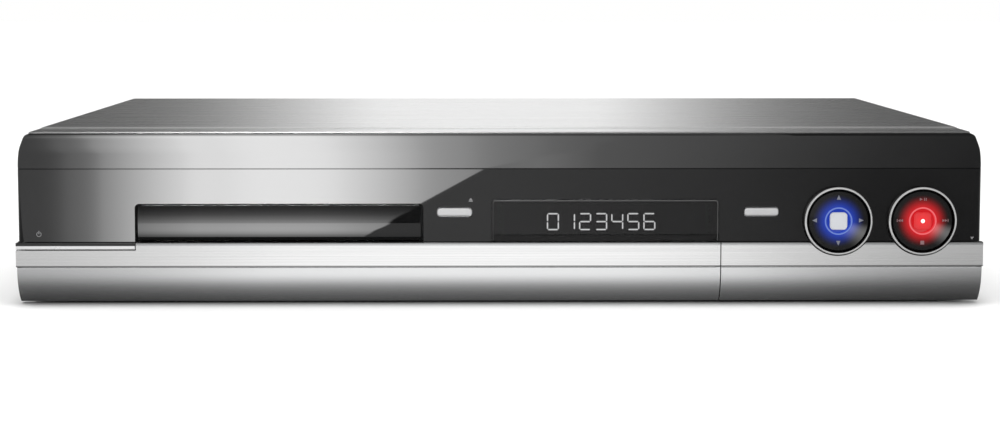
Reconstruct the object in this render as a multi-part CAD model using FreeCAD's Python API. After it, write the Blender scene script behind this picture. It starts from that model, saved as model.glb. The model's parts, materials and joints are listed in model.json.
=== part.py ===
import FreeCAD, Part
import math
import os
from FreeCAD import Vector

# A full-width disc recorder with a hard disk, a loading tray and a fold-down connector flap.
# Millimetres. X runs to the right, Y to the back and Z up, seen from in front of the recorder.
# The origin is on the surface it stands on, under the middle of its bounding box.

# Overall sizes
width = 435.0  # across the brushed band, the widest piece
depth = 330.0  # from the dial rings to the tips of the rear sockets
height = 78.0  # from the surface to the top of the cover

# Clearances
seam = 0.45  # visible gap between two outer mouldings
slide_gap = 0.3  # between a moving piece and its guide
bearing_gap = 0.05  # radial, between a pin and its bore
mesh_backlash = 0.2  # between gear teeth
panel_gap = 0.1  # between the panel and the frame behind it
tiny = 1e-6

# Sheet metal and mouldings
cover_sheet = 0.8
chassis_sheet = 1.0
panel_wall = 2.4
frame_wall = 2.5
board_thickness = 1.6

# Front planes, from the glossy panel's flat face
ring_stand_out = 4.5  # dial rings in front of the panel
band_stand_out = 3.0  # brushed band in front of the panel
panel_return = 9.7  # how far the panel's sides and top run back
panel_y = -depth / 2 + ring_stand_out
band_y = panel_y - band_stand_out
frame_y = panel_y + panel_wall  # front face of the carrier frame, against the panel's back
frame_back_y = panel_y + 17.0
panel_back_y = panel_y + panel_return

# Front heights
fascia_bottom = 1.0
band_bottom = 17.4
band_lip = 1.3  # silver lip left above the brushed strip
band_top = 28.3
panel_bottom = band_top + seam / 2
panel_top = height - 1.1
strip_height = 15.6  # upper strip of the panel, above its groove
panel_lean = 0.9  # from the panel's foot to its groove
groove_z = panel_top - strip_height
shoulder_z = panel_top - 15.15  # where the panel's ends begin to round inwards
half_band = width / 2
half_front = half_band - 0.5

# Cover, chassis and rear panel
foot_height = 5.0
half_cover = half_front - 3.5
half_chassis = half_cover - cover_sheet - 1.2
cover_y = panel_back_y + 0.3
chassis_z = foot_height
floor_z = chassis_z + chassis_sheet  # upper face of the chassis plate
socket_reach = 9.5  # rear sockets behind the rear panel
rear_y = depth / 2 - socket_reach
strip_depth = 26.0  # lowered front strip of the cover
strip_drop = 0.6

# Tray opening and tray front
disc_radius = 60.0
opening_left = -half_front + 52.6
opening_width = 2 * disc_radius + 9.8
opening_top = 45.6
door_gap = 1.3
tray_x = opening_left + opening_width / 2
door_back_y = panel_y + 6.0

# Disc tray
tray_travel = 138.0
tray_half = disc_radius + 2.3
tray_length = 162.0
tray_floor_z = 34.0  # underside of the tray's floor
well_floor_z = 36.4
rim_top_z = 39.6
disc_y = door_back_y + 5.5 + disc_radius + 0.6

# Loader gears
module = 1.0
gear_y = panel_y + 21.0
rack_x = tray_x - tray_half + 8.3  # pitch line of the rack
rack_pinion_teeth = 16
wheel_teeth = 24
drive_pinion_teeth = 12
rack_pinion_radius = rack_pinion_teeth * module / 2
wheel_radius = wheel_teeth * module / 2
drive_pinion_radius = drive_pinion_teeth * module / 2
tray_gear_x = rack_x + rack_pinion_radius
pulley_gear_x = tray_gear_x + wheel_radius + drive_pinion_radius
motor_x = pulley_gear_x + 34.0
axle_radius = 1.5
loader_base_z = 18.0
loader_base_top = 20.0
pulley_z = 20.6  # underside of the belt pulleys
pulley_height = 3.8
wheel_z = 25.2  # underside of the middle gear level
wheel_height = 4.0
rack_z = 30.2  # underside of the rack
pulley_radius = 13.0
motor_pulley_radius = 3.8
belt_thickness = 1.0
groove_depth = 1.2

# Loader frame
loader_y = panel_y + 6.5
loader_end_y = disc_y + 105.0
loader_wall = 2.8
loader_inner = tray_half + 0.4
loader_outer = loader_inner + loader_wall
loader_top_z = 46.5

# Traverse with spindle and laser sled
hinge_y = disc_y + 82.0
hinge_z = 23.2
traverse_z = 22.0
traverse_plate = 2.5
traverse_half = 42.0
traverse_front_y = disc_y - 25.0
lift_degrees = 2.5
cam_travel = 14.0
turntable_radius = 14.5
disc_seat_z = 37.6
rod_radius = 1.5
rod_z = 27.3
rod_offset = 20.5
screw_offset = 27.5
sled_travel = 36.0
sled_length = 20.0
sled_start_y = disc_y + 20.0

# Buttons, dials and display
button_length = 15.1
button_height = 3.7
button_z = 41.75
button_travel = 0.8
open_button_x = opening_left + opening_width + 13.9
dial_radius = 15.35
dial_z = 37.95
dial_gap = 37.85
right_dial_x = half_front - 27.2
left_dial_x = right_dial_x - dial_gap
ring_wall = 1.1
pad_radius = 13.8
pad_thickness = 2.0
pad_y = panel_y - 3.6  # front of a pad's rim
pivot_y = frame_y + panel_gap + frame_wall / 2
peg_ring = 9.6  # pegs of a pad from its middle
peg_radius = 0.9
rocker_inner = 11.0
rocker_outer = 12.6
rocker_hole = 13.2
pivot_radius = 0.6
light_ring_radius = 6.25
light_ring_wall = 0.75
centre_size = 7.8
centre_corner = 1.7
ok_button_x = left_dial_x - 34.35
flap_left = half_band - 118.5 + seam
window_left = open_button_x + 16.6
window_right = flap_left - seam - 0.3
window_top = 47.6
window_proud = 0.5
standby_length = 53.4
standby_height = 2.9
standby_z = 26.75  # middle of the standby bar
key_board_y = panel_y + 12.0
switch_tip_y = key_board_y - 4.6

# Flap and connector bay
insert_depth = 1.2  # brushed strip, let into its moulding
groove_root = 1.5  # depth of the groove under the brushed strip
lower_radius = 19.0  # round of the lower fascia
flap_axis_y = band_y + 7.4
flap_axis_z = 8.9
flap_open_degrees = 85.0
flap_pin_radius = 0.8
flap_swing = 8.5  # radius that the flap's foot sweeps round its axis
ear_radius = 1.9
ear_width = 2.5
notch_gap = 0.5
bay_left = flap_left + 9.0
bay_right = half_front - 8.5
bay_bottom = 5.7
bay_top = 21.4
bay_back_y = panel_y + 15.0
bay_z = 15.2  # middle of the front sockets
front_socket_tip_y = panel_y + 6.0
phono_radius = 4.15
phono_length = 8.5

# Hard disk, boards and fan
disk_width = 101.6
disk_length = 147.0
disk_height = 26.1
disk_z = 14.0
disk_x = (tray_x + loader_outer + half_chassis) / 2 + 8.0
disk_y = frame_back_y + 15.0
board_z = 12.0
fan_size = 50.0
fan_depth = 15.0
fan_bore = 23.5
fan_z = 35.0
fan_x = tray_x + loader_outer
main_board_left = fan_x + fan_size / 2 + 6.0
main_board_y = disk_y + disk_length + 6.0
power_board_y = loader_end_y + 8.0
board_back_y = rear_y - chassis_sheet - 1.0

# Where the rear sockets stand, from the left edge of the main board
aerial_x = main_board_left + 10.0
wide_x = main_board_left + 46.0
phono_x = main_board_left + 82.0
phono_pitch = 14.0
digital_x = phono_x + 2 * phono_pitch + 15.0
rear_rows = (20.0, 34.0, 48.0)
mains_x = -half_chassis + 27.0
mains_z = 24.0


# Drawing helpers

def in_space(view, u, v, w):
    """A drawing's point (u, v), at w along the drawing's normal."""
    places = {"top": (u, v, w), "front": (u, w, v), "side": (w, u, v)}
    return Vector(*places[view])


def outline(corners, view, w):
    """A closed wire through corners (u, v), rounded where a corner gives a radius."""
    points = [Vector(c[0], c[1], 0) for c in corners]
    count = len(points)
    stretches = []
    for i, corner in enumerate(corners):
        here = points[i]
        if len(corner) < 3 or corner[2] < tiny:
            stretches.append((here, None, here))
            continue
        back = (points[i - 1] - here).normalize()
        ahead = (points[(i + 1) % count] - here).normalize()
        half = back.getAngle(ahead) / 2
        reach = corner[2] / math.tan(half)
        inward = (back + ahead).normalize()
        middle = here + inward * (corner[2] / math.sin(half) - corner[2])
        stretches.append((here + back * reach, middle, here + ahead * reach))
    edges = []
    for i, (start, middle, end) in enumerate(stretches):
        following = stretches[(i + 1) % count][0]
        if middle is not None:
            places = [in_space(view, p.x, p.y, w) for p in (start, middle, end)]
            edges.append(Part.Arc(*places).toShape())
        if (following - end).Length > tiny:
            line = [in_space(view, p.x, p.y, w) for p in (end, following)]
            edges.append(Part.makeLine(*line))
    return Part.Wire(edges)


def pad(corners, view, start, end):
    """An outline pushed along its drawing's normal from start to end."""
    face = Part.Face(outline(corners, view, start))
    return face.extrude(in_space(view, 0, 0, end - start))


def box(x0, x1, y0, y1, z0, z1):
    """A block between two corners."""
    return Part.makeBox(x1 - x0, y1 - y0, z1 - z0, Vector(x0, y0, z0))


def rectangle(u0, u1, v0, v1, radius=0.0):
    """Corners of a rectangle with rounded corners."""
    return [(u0, v0, radius), (u1, v0, radius), (u1, v1, radius), (u0, v1, radius)]


def centred(u, v, across, up, radius=0.0):
    """Corners of a rectangle round its middle."""
    return rectangle(u - across / 2, u + across / 2, v - up / 2, v + up / 2, radius)


def rod(radius, start, end):
    """A round bar from one point to another."""
    line = Vector(*end) - Vector(*start)
    return Part.makeCylinder(radius, line.Length, Vector(*start), line)


def turned(profile, centre, axis="Z"):
    """A profile of (radius, height) corners turned round an axis through a centre."""
    face = Part.Face(outline(profile, "front", 0.0))
    solid = face.revolve(Vector(), Vector(0, 0, 1), 360)
    if axis == "Y":
        solid.rotate(Vector(), Vector(1, 0, 0), -90)
    solid.translate(Vector(*centre))
    return solid


def fused(shapes):
    """One solid from pieces that touch or overlap."""
    joined = shapes[0].multiFuse(shapes[1:]) if len(shapes) > 1 else shapes[0]
    return joined.removeSplitter()


def three_view(side, front, top):
    """The solid whose side, front and top views are the three outlines."""
    reach = max(width, depth)
    solid = pad(side, "side", -reach, reach)
    solid = solid.common(pad(front, "front", -reach, reach))
    return solid.common(pad(top, "top", -reach, reach))


def moved(shape, x=0.0, y=0.0, z=0.0):
    """A copy of a shape in another place."""
    copy = shape.copy()
    copy.translate(Vector(x, y, z))
    return copy


def arc_corners(centre, radius, start, end, steps):
    """Points along an arc in a drawing, from one angle to another in degrees."""
    turn = [math.radians(start + (end - start) * i / steps) for i in range(steps + 1)]
    return [(centre[0] + radius * math.cos(a), centre[1] + radius * math.sin(a)) for a in turn]


def save(name, shapes):
    """Writes one sub-part, which may be several alike solids."""
    shapes = shapes if isinstance(shapes, list) else [shapes]
    solids = [solid for shape in shapes for solid in shape.Solids]
    Part.makeCompound(solids).exportStep(os.path.join("parts", name + ".step"))


# Case

def make_top_cover():
    """Folded steel cover with a lowered front strip and side vents."""
    step_y = cover_y + strip_depth
    bottom = floor_z + 0.4

    def profile(inset):
        top = height - inset
        return [
            (cover_y - inset * 2, bottom - inset * 2),
            (cover_y - inset * 2, top - strip_drop),
            (step_y + inset / 2, top - strip_drop),
            (step_y + 1.6 + inset / 2, top),
            (rear_y + inset * 2, top),
            (rear_y + inset * 2, bottom - inset * 2),
        ]

    def shell(inset, bend):
        half = half_cover - inset
        front = [(-half, 0.0), (half, 0.0), (half, height - inset, bend), (-half, height - inset, bend)]
        return three_view(profile(inset), front, rectangle(-half, half, -depth, depth))

    bend = 2.0
    cover = shell(0.0, bend).cut(shell(cover_sheet, bend - cover_sheet))
    slots = []
    pitch = 8.0
    for i in range(10):
        y = rear_y - 40.0 - i * pitch
        slots.append(box(-half_front, half_front, y, y + 2.6, 40.0, 64.0))
    swing = rod(flap_swing, (bay_right, flap_axis_y, flap_axis_z), (half_front, flap_axis_y, flap_axis_z))
    return cover.cut(Part.makeCompound(slots + [swing]))


def make_bottom_chassis():
    """Bottom plate with turned-up edges and rows of vents."""
    flange = 12.0
    outer = box(-half_chassis, half_chassis, frame_back_y, rear_y - chassis_sheet, chassis_z,
                chassis_z + flange)
    inner = box(-half_chassis + chassis_sheet, half_chassis - chassis_sheet,
                frame_back_y - 1.0, rear_y, floor_z, height)
    slots = []
    for side_x in (-half_chassis / 2, half_chassis * 0.42):
        for i in range(6):
            y = 24.0 + i * 11.0
            slots.append(box(side_x - 22.0, side_x + 22.0, y, y + 3.0, 0.0, floor_z + 1.0))
    return outer.cut(inner).cut(Part.makeCompound(slots))


def make_feet():
    """Four tapered rubber feet, each hollowed so that it stands on a ring."""
    foot_radius = 13.0
    profile = [(0, 1.6), (foot_radius - 4.6, 0), (foot_radius - 1.6, 0), (foot_radius, foot_height),
               (0, foot_height)]
    places = [(x, y) for x in (-half_chassis + 30.0, half_chassis - 30.0)
              for y in (frame_back_y + 32.0, rear_y - 34.0)]
    return [turned(profile, (x, y, 0)) for x, y in places]


def fan_grille(x, z):
    """Cutters for the fan's grille: level slots whose ends follow a circle."""
    reach = fan_bore - 1.0
    count = 9
    pitch = 2 * reach / count
    cutters = []
    for i in range(count):
        level = (i - (count - 1) / 2) * pitch
        half = math.sqrt(reach ** 2 - level ** 2) - 1.0
        cutters.append(box(x - half, x + half, rear_y - 5, rear_y + 5, z + level - 1.5, z + level + 1.5))
    rib = box(x - 1.2, x + 1.2, rear_y - 6, rear_y + 6, z - reach, z + reach)
    return Part.makeCompound(cutters).cut(rib)


def make_rear_panel():
    """Rear sheet with a fan grille and a cut-out for each socket."""
    top = height - cover_sheet
    side = [(rear_y, floor_z), (rear_y, top), (rear_y - 10.0, top), (rear_y - 10.0, top - chassis_sheet),
            (rear_y - chassis_sheet, top - chassis_sheet), (rear_y - chassis_sheet, floor_z)]
    panel = pad(side, "side", -half_chassis, half_chassis)
    through = (rear_y - 5.0, rear_y + 5.0)
    cutters = [fan_grille(fan_x, fan_z)]
    cutters.append(pad(centred(mains_x, mains_z, mains_width + 0.4, mains_height + 0.4), "front", *through))
    for z in wide_rows:
        cutters.append(pad(centred(wide_x, z, wide_width + 0.4, wide_height + 0.4), "front", *through))
    for x, z in rear_phono_places():
        cutters.append(pad(centred(x, z, phono_block + 0.4, phono_block + 0.4), "front", *through))
    for z in aerial_rows:
        cutters.append(pad(centred(aerial_x, z, 2 * aerial_collar + 0.4, 2 * aerial_collar + 0.4), "front",
                           *through))
    cutters.append(pad(centred(digital_x, picture_z, picture_width + 0.4, picture_height + 0.4), "front", *through))
    cutters.append(pad(centred(digital_x, optical_z, optical_size + 0.4, optical_size + 0.4), "front",
                       *through))
    return panel.cut(Part.makeCompound(cutters))


# Rear sockets

wide_width = 47.6
wide_height = 15.6
wide_rows = (22.0, 46.0)
phono_block = 10.4
aerial_collar = 6.4
aerial_rows = (22.0, 46.0)
picture_width = 15.0
picture_height = 6.0
picture_z = 20.0
optical_size = 9.6
optical_z = 46.0
mains_width = 21.0
mains_height = 12.0


def rear_phono_places():
    """Seven phono sockets: two full columns and one at the foot of the third."""
    places = [(phono_x + column * phono_pitch, z) for column in range(2) for z in rear_rows]
    return places + [(phono_x + 2 * phono_pitch, rear_rows[0])]


def phono_socket(x, y, z, facing, depth_behind):
    """A phono socket: square block, round sleeve and the hole of its centre contact."""
    half = phono_block / 2
    front = y + facing * 0.3
    back = y - facing * depth_behind
    block = box(x - half, x + half, min(front, back), max(front, back), z - half, z + half)
    sleeve = rod(phono_radius, (x, y, z), (x, y + facing * phono_length, z))
    hole = rod(1.6, (x, y + facing * 1.0, z), (x, y + facing * (phono_length + 1), z))
    return fused([block, sleeve]).cut(hole)


def make_rear_phono_sockets():
    return [phono_socket(x, rear_y, z, 1, 9.0) for x, z in rear_phono_places()]


def make_wide_sockets():
    """Two 21-way sockets: slanted shroud, contact block and the groove round it."""
    sockets = []
    slant = 6.0
    under = board_z + board_thickness
    for z in wide_rows:
        def shape(inset, start, end):
            w, h = wide_width / 2 - inset, wide_height / 2 - inset
            corners = [(wide_x - w, z - h), (wide_x + w, z - h), (wide_x + w, z + h),
                       (wide_x - w + slant, z + h), (wide_x - w, z + h - slant)]
            return pad(corners, "front", start, end)
        front = rear_y + 2.0
        body = shape(0.0, rear_y - 12.0, front)
        groove = shape(1.4, rear_y - 6.0, front + 1).cut(shape(3.6, rear_y - 7.0, front + 2))
        slit = box(wide_x - 18.0, wide_x + 18.0, rear_y - 6.0, front + 1, z - 0.8, z + 0.8)
        stand = box(wide_x - 20.0, wide_x + 20.0, rear_y - 12.0, rear_y - 8.0, under,
                    z - wide_height / 2 + 0.1)
        under = z + wide_height / 2 + 0.2
        sockets.append(fused([body, stand]).cut(groove).cut(slit))
    return sockets


def make_aerial_sockets():
    """Aerial in, a wide bore, and aerial out, a sleeve with its pin."""
    sockets = []
    for z, sleeve, bore, pin in ((aerial_rows[0], 6.0, 4.8, 0.0), (aerial_rows[1], 4.75, 4.1, 1.2)):
        c = aerial_collar
        parts = [box(aerial_x - c, aerial_x + c, rear_y - 1.6, rear_y, z - c, z + c),
                 rod(sleeve, (aerial_x, rear_y, z), (aerial_x, rear_y + socket_reach, z)),
                 box(aerial_x - 8, aerial_x + 8, rear_y - 12, rear_y - 1.5, z - 8.3, z + 8.3)]
        hollow = rod(bore, (aerial_x, rear_y - 1.0, z), (aerial_x, rear_y + socket_reach + 1, z))
        socket = fused(parts).cut(hollow)
        if pin:
            pin_bar = rod(pin, (aerial_x, rear_y - 1.5, z), (aerial_x, rear_y + socket_reach - 0.5, z))
            socket = fused([socket, pin_bar])
        sockets.append(socket)
    return sockets


def make_digital_sockets():
    """The wide picture-and-sound socket with its tongue, and the optical socket."""
    front = rear_y + 0.8
    w, h = picture_width / 2, picture_height / 2
    picture = box(digital_x - w, digital_x + w, rear_y - 11, front, picture_z - h, picture_z + h)
    mouth = [(digital_x - 5.0, picture_z - 2.3), (digital_x + 5.0, picture_z - 2.3),
             (digital_x + 7.0, picture_z - 0.6), (digital_x + 7.0, picture_z + 2.3),
             (digital_x - 7.0, picture_z + 2.3), (digital_x - 7.0, picture_z - 0.6)]
    tongue = box(digital_x - 5.5, digital_x + 5.5, rear_y - 11, front - 1.2, picture_z - 0.1, picture_z + 0.9)
    stem = box(digital_x - 4, digital_x + 4, rear_y - 11, rear_y - 4, board_z + board_thickness,
               picture_z - h + 0.1)
    picture = fused([fused([picture, stem]).cut(pad(mouth, "front", rear_y - 9, front + 1)), tongue])
    s = optical_size / 2
    optical = box(digital_x - s, digital_x + s, rear_y - 12, rear_y + 1.2, optical_z - s, optical_z + s)
    optical = optical.cut(box(digital_x - 3.2, digital_x + 3.2, rear_y - 6, rear_y + 2,
                              optical_z - 3.2, optical_z + 3.2))
    return [picture, optical]


def make_mains_inlet():
    """Two-pin mains inlet: a figure-eight recess with its two pins."""
    w, h = mains_width / 2, mains_height / 2
    front = rear_y + 1.5
    body = box(mains_x - w, mains_x + w, rear_y - 16, front, mains_z - h, mains_z + h)
    lobe, offset = 4.2, 4.3
    recess = fused([rod(lobe, (mains_x - offset, rear_y - 11, mains_z), (mains_x - offset, front + 1, mains_z)),
                    rod(lobe, (mains_x + offset, rear_y - 11, mains_z), (mains_x + offset, front + 1, mains_z)),
                    box(mains_x - offset, mains_x + offset, rear_y - 11, front + 1, mains_z - lobe,
                        mains_z + lobe)])
    pins = [rod(1.18, (x, rear_y - 12, mains_z), (x, front - 3.0, mains_z))
            for x in (mains_x - offset, mains_x + offset)]
    stand = box(mains_x - 8, mains_x + 8, rear_y - 16, rear_y - 10, board_z + board_thickness,
                mains_z - h + 0.1)
    return fused([fused([body, stand]).cut(recess)] + pins)


# Front mouldings

def panel_side(inset, bottom, back):
    """Side view of the glossy panel: a leaning face, then a strip that curves back."""
    face = panel_y + inset
    top = panel_top - inset
    lean = face + panel_lean
    corners = [(face, bottom)]
    if bottom < panel_bottom - 2:
        corners.append((face, panel_bottom))
    corners += [(lean, groove_z), (lean + 0.6, panel_top - 7.5 - inset * 0.75, 25.0)]
    corners += [(lean + 2.0, top, max(3.0 - inset, 0.5)), (back, top), (back, bottom)]
    return corners


def panel_solid(inset, bottom, back):
    """The panel's outer shape, or one set in from it by an even wall."""
    half = half_front - inset
    top = panel_top - inset
    bend_z = shoulder_z + 8.5 - inset * 0.75
    right = [(half, bottom), (half, shoulder_z, 20.0), (half - 0.9, bend_z, 12.0),
             (half - 3.2, top, max(2.6 - inset, 0.8))]
    left = [(-corner[0],) + corner[1:] for corner in reversed(right)]
    edge = max(3.0 - inset, 0.6)
    plan = [(-half, panel_y + inset, edge), (half, panel_y + inset, edge), (half, back), (-half, back)]
    return three_view(panel_side(inset, bottom, back), right + left, plan)


def front_cut(corners):
    """A cutter that goes through the whole front."""
    return pad(corners, "front", band_y - 10.0, frame_back_y + 10.0)


def dial_places():
    return [(left_dial_x, dial_z), (right_dial_x, dial_z)]


def make_front_panel():
    """Glossy shell with the tray opening, window, dial holes and button slots."""
    shell = panel_solid(0.0, panel_bottom, panel_back_y)
    shell = shell.cut(panel_solid(panel_wall, panel_bottom - 1.0, panel_back_y + 1.0))
    below = panel_bottom - 2.0
    cutters = [front_cut([(opening_left, below), (opening_left + opening_width, below),
                          (opening_left + opening_width, opening_top, 2.0), (opening_left, opening_top, 2.0)])]
    cutters.append(front_cut([(window_left, below), (window_right, below),
                              (window_right, window_top, 2.2), (window_left, window_top, 2.2)]))
    for x in (open_button_x, ok_button_x):
        cutters.append(front_cut(centred(x, button_z, button_length + 0.8, button_height + 0.8, 1.8)))
    for x, z in dial_places():
        cutters.append(rod(dial_radius + 0.15, (x, band_y - 5, z), (x, frame_back_y, z)))
    groove = panel_side(0.35, panel_bottom, panel_back_y)
    ring = box(-width, width, band_y - 5, panel_back_y - 1.5, groove_z - 0.22, groove_z + 0.22)
    core = box(-half_front + 0.35, half_front - 0.35, groove[0][0] + panel_lean, 0, 0, height)
    cutters.append(ring.cut(core))
    return shell.cut(Part.makeCompound(cutters))


def make_display_window():
    """Smoked window let into the panel, a little proud of it."""
    gap = 0.12
    face = panel_y - window_proud
    plate = pad([(window_left + gap, panel_bottom), (window_right - gap, panel_bottom),
                 (window_right - gap, window_top - gap, 2.1), (window_left + gap, window_top - gap, 2.1)],
                "front", face, frame_y)
    lean = window_proud * 0.7
    side = [(face, panel_bottom), (face + lean, window_top - gap, 0.5), (frame_y, window_top - gap),
            (frame_y, panel_bottom)]
    return plate.common(pad(side, "side", -width, width))


def fascia_side(inner):
    """Outer or inner edge of the fascia's section, from the top down to the rounded foot."""
    wall = 2.2 if inner else 0.0
    radius = lower_radius - wall
    start = band_bottom - seam - 0.3
    foot = fascia_bottom + (1.8 if inner else 0.0)
    turn = math.asin((start - foot) / radius)
    knee = (band_y + wall, start - radius * math.tan(turn / 2), radius)
    end = (band_y + lower_radius - radius * math.cos(turn), foot)
    return knee, end


def fascia_section(flange_y, back_y):
    """Section of the silver moulding: lip, brushed strip's seat, groove and rounded foot."""
    knee, end = fascia_side(False)
    inner_knee, inner_end = fascia_side(True)
    seat_y = band_y + insert_depth
    lip_z = band_top - band_lip
    corners = [(flange_y, band_top), (band_y, band_top, 0.5), (band_y, lip_z), (seat_y, lip_z)]
    root_y = band_y + groove_root
    corners += [(seat_y, band_bottom), (root_y, band_bottom), (root_y, band_bottom - seam)]
    corners += [(band_y, band_bottom - seam, 0.25), knee, end]
    if back_y > inner_end[0]:
        corners += [(back_y, fascia_bottom), (back_y, inner_end[1])]
    corners += [inner_end, inner_knee, (band_y + 2.2, band_top - 2.2), (flange_y, band_top - 2.2)]
    return corners


def end_section(back_y):
    """The whole outline of the front's lower end, for a closed end wall."""
    knee, end = fascia_side(False)
    return [(back_y, band_top), (band_y, band_top, 0.5), knee, end, (back_y, fascia_bottom)]


def strip_cut(x0, x1, gap):
    """The room of the brushed strip between two ends."""
    return box(x0, x1, band_y - 1, band_y + insert_depth, band_bottom + gap, band_top - band_lip - gap)


def standby_notch(gap):
    x1 = -half_band + standby_length + gap
    return box(-half_band - 2, x1, band_y - 2, frame_y, standby_z - standby_height / 2 - gap, band_top + 1)


def make_lower_fascia():
    """Fixed silver moulding left of the flap, closed at both ends."""
    right = flap_left - seam
    wall = 2.0
    shell = pad(fascia_section(frame_y, frame_y + 5.8), "side", -half_band, right)
    ends = [pad(end_section(panel_back_y), "side", -half_band, -half_band + wall),
            pad(end_section(frame_y + 5.8), "side", right - wall, right)]
    ends[1] = ends[1].cut(box(0, width, frame_y, 0, bay_top - 0.1, height))
    body = fused([shell] + ends)
    step = box(-half_band - 1, -half_front, band_y - 1, 0, 0, band_bottom)
    seats = [step, standby_notch(seam), strip_cut(-half_band - 1, right + 1, 0.0)]
    return body.cut(Part.makeCompound(seats))


def make_trim_band():
    """Brushed strip of the fixed moulding."""
    strip = box(-half_band, flap_left - seam, band_y, band_y + insert_depth, band_bottom + 0.04,
                band_top - band_lip - 0.04)
    return strip.cut(standby_notch(seam))


def notch_cutters():
    """Round clearances in the flap under the two dials."""
    radius = dial_radius + notch_gap
    return [rod(radius, (x, band_y - 5, z), (x, frame_y, z)) for x, z in dial_places()]


def ear_places():
    """Left ends of the flap's two ears, each beside a fixed lug."""
    return [flap_left + 3.85, half_band - 7.8]


def make_flap():
    """Fold-down flap: same section as the fascia, with an end wall and two hinge ears."""
    shell = pad(fascia_section(band_y + 3.4, 0.0 - depth), "side", flap_left, half_band)
    swing = rod(6.5, (0, flap_axis_y, flap_axis_z), (width, flap_axis_y, flap_axis_z))
    upper = box(0, width, -depth, band_y + 4.7, fascia_bottom, height)
    end = pad(end_section(panel_back_y), "side", half_band - 2.0, half_band).common(fused([swing, upper]))
    parts = [shell, end]
    for x in ear_places():
        parts.append(rod(ear_radius, (x, flap_axis_y, flap_axis_z), (x + ear_width, flap_axis_y, flap_axis_z)))
        parts.append(box(x, x + ear_width, band_y + 3.9, flap_axis_y, flap_axis_z - ear_radius,
                         flap_axis_z + ear_radius))
    step = box(half_front, half_band + 1, -depth, 0, 0, band_bottom)
    bores = [rod(flap_pin_radius + bearing_gap, (x - 1, flap_axis_y, flap_axis_z),
                 (x + ear_width + 1, flap_axis_y, flap_axis_z)) for x in ear_places()]
    cutters = bores + notch_cutters() + [step, strip_cut(flap_left - 1, half_band + 1, 0.0)]
    return fused(parts).cut(Part.makeCompound(cutters))


def make_flap_trim():
    """Brushed strip of the flap, notched under the dials."""
    strip = box(flap_left, half_band, band_y, band_y + insert_depth, band_bottom + 0.04,
                band_top - band_lip - 0.04)
    return strip.cut(Part.makeCompound(notch_cutters()))


def lug_places():
    left, right = ear_places()
    return [left - slide_gap - ear_width, right + ear_width + slide_gap]


def make_flap_pins():
    """Two steel pins, each through a fixed lug and the ear beside it."""
    pins = []
    for lug, ear in zip(lug_places(), ear_places()):
        start = min(lug, ear) + 0.2
        pins.append(rod(flap_pin_radius, (start, flap_axis_y, flap_axis_z),
                        (start + 2 * ear_width, flap_axis_y, flap_axis_z)))
    return pins


def front_socket_places():
    """Middles of the sockets behind the flap: three phono, then three small ones."""
    start = bay_left + 12.0
    return [start, start + 14.0, start + 28.0, start + 45.0, start + 61.0, start + 76.0]


def front_socket_cutters(gap):
    """Holes for the front sockets in the back wall of their bay."""
    xs = front_socket_places()
    reach = (bay_back_y - 5, bay_back_y + 5)
    cutters = [pad(centred(x, bay_z, phono_block + 2 * gap, phono_block + 2 * gap), "front", *reach)
               for x in xs[:3]]
    cutters.append(rod(5.6 + gap, (xs[3], bay_back_y - 5, bay_z), (xs[3], bay_back_y + 5, bay_z)))
    for x, across, up in ((xs[4], 7.6, 5.4), (xs[5], 13.4, 6.0)):
        cutters.append(pad(centred(x, bay_z, across + 2 * gap, up + 2 * gap), "front", *reach))
    return cutters


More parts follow.
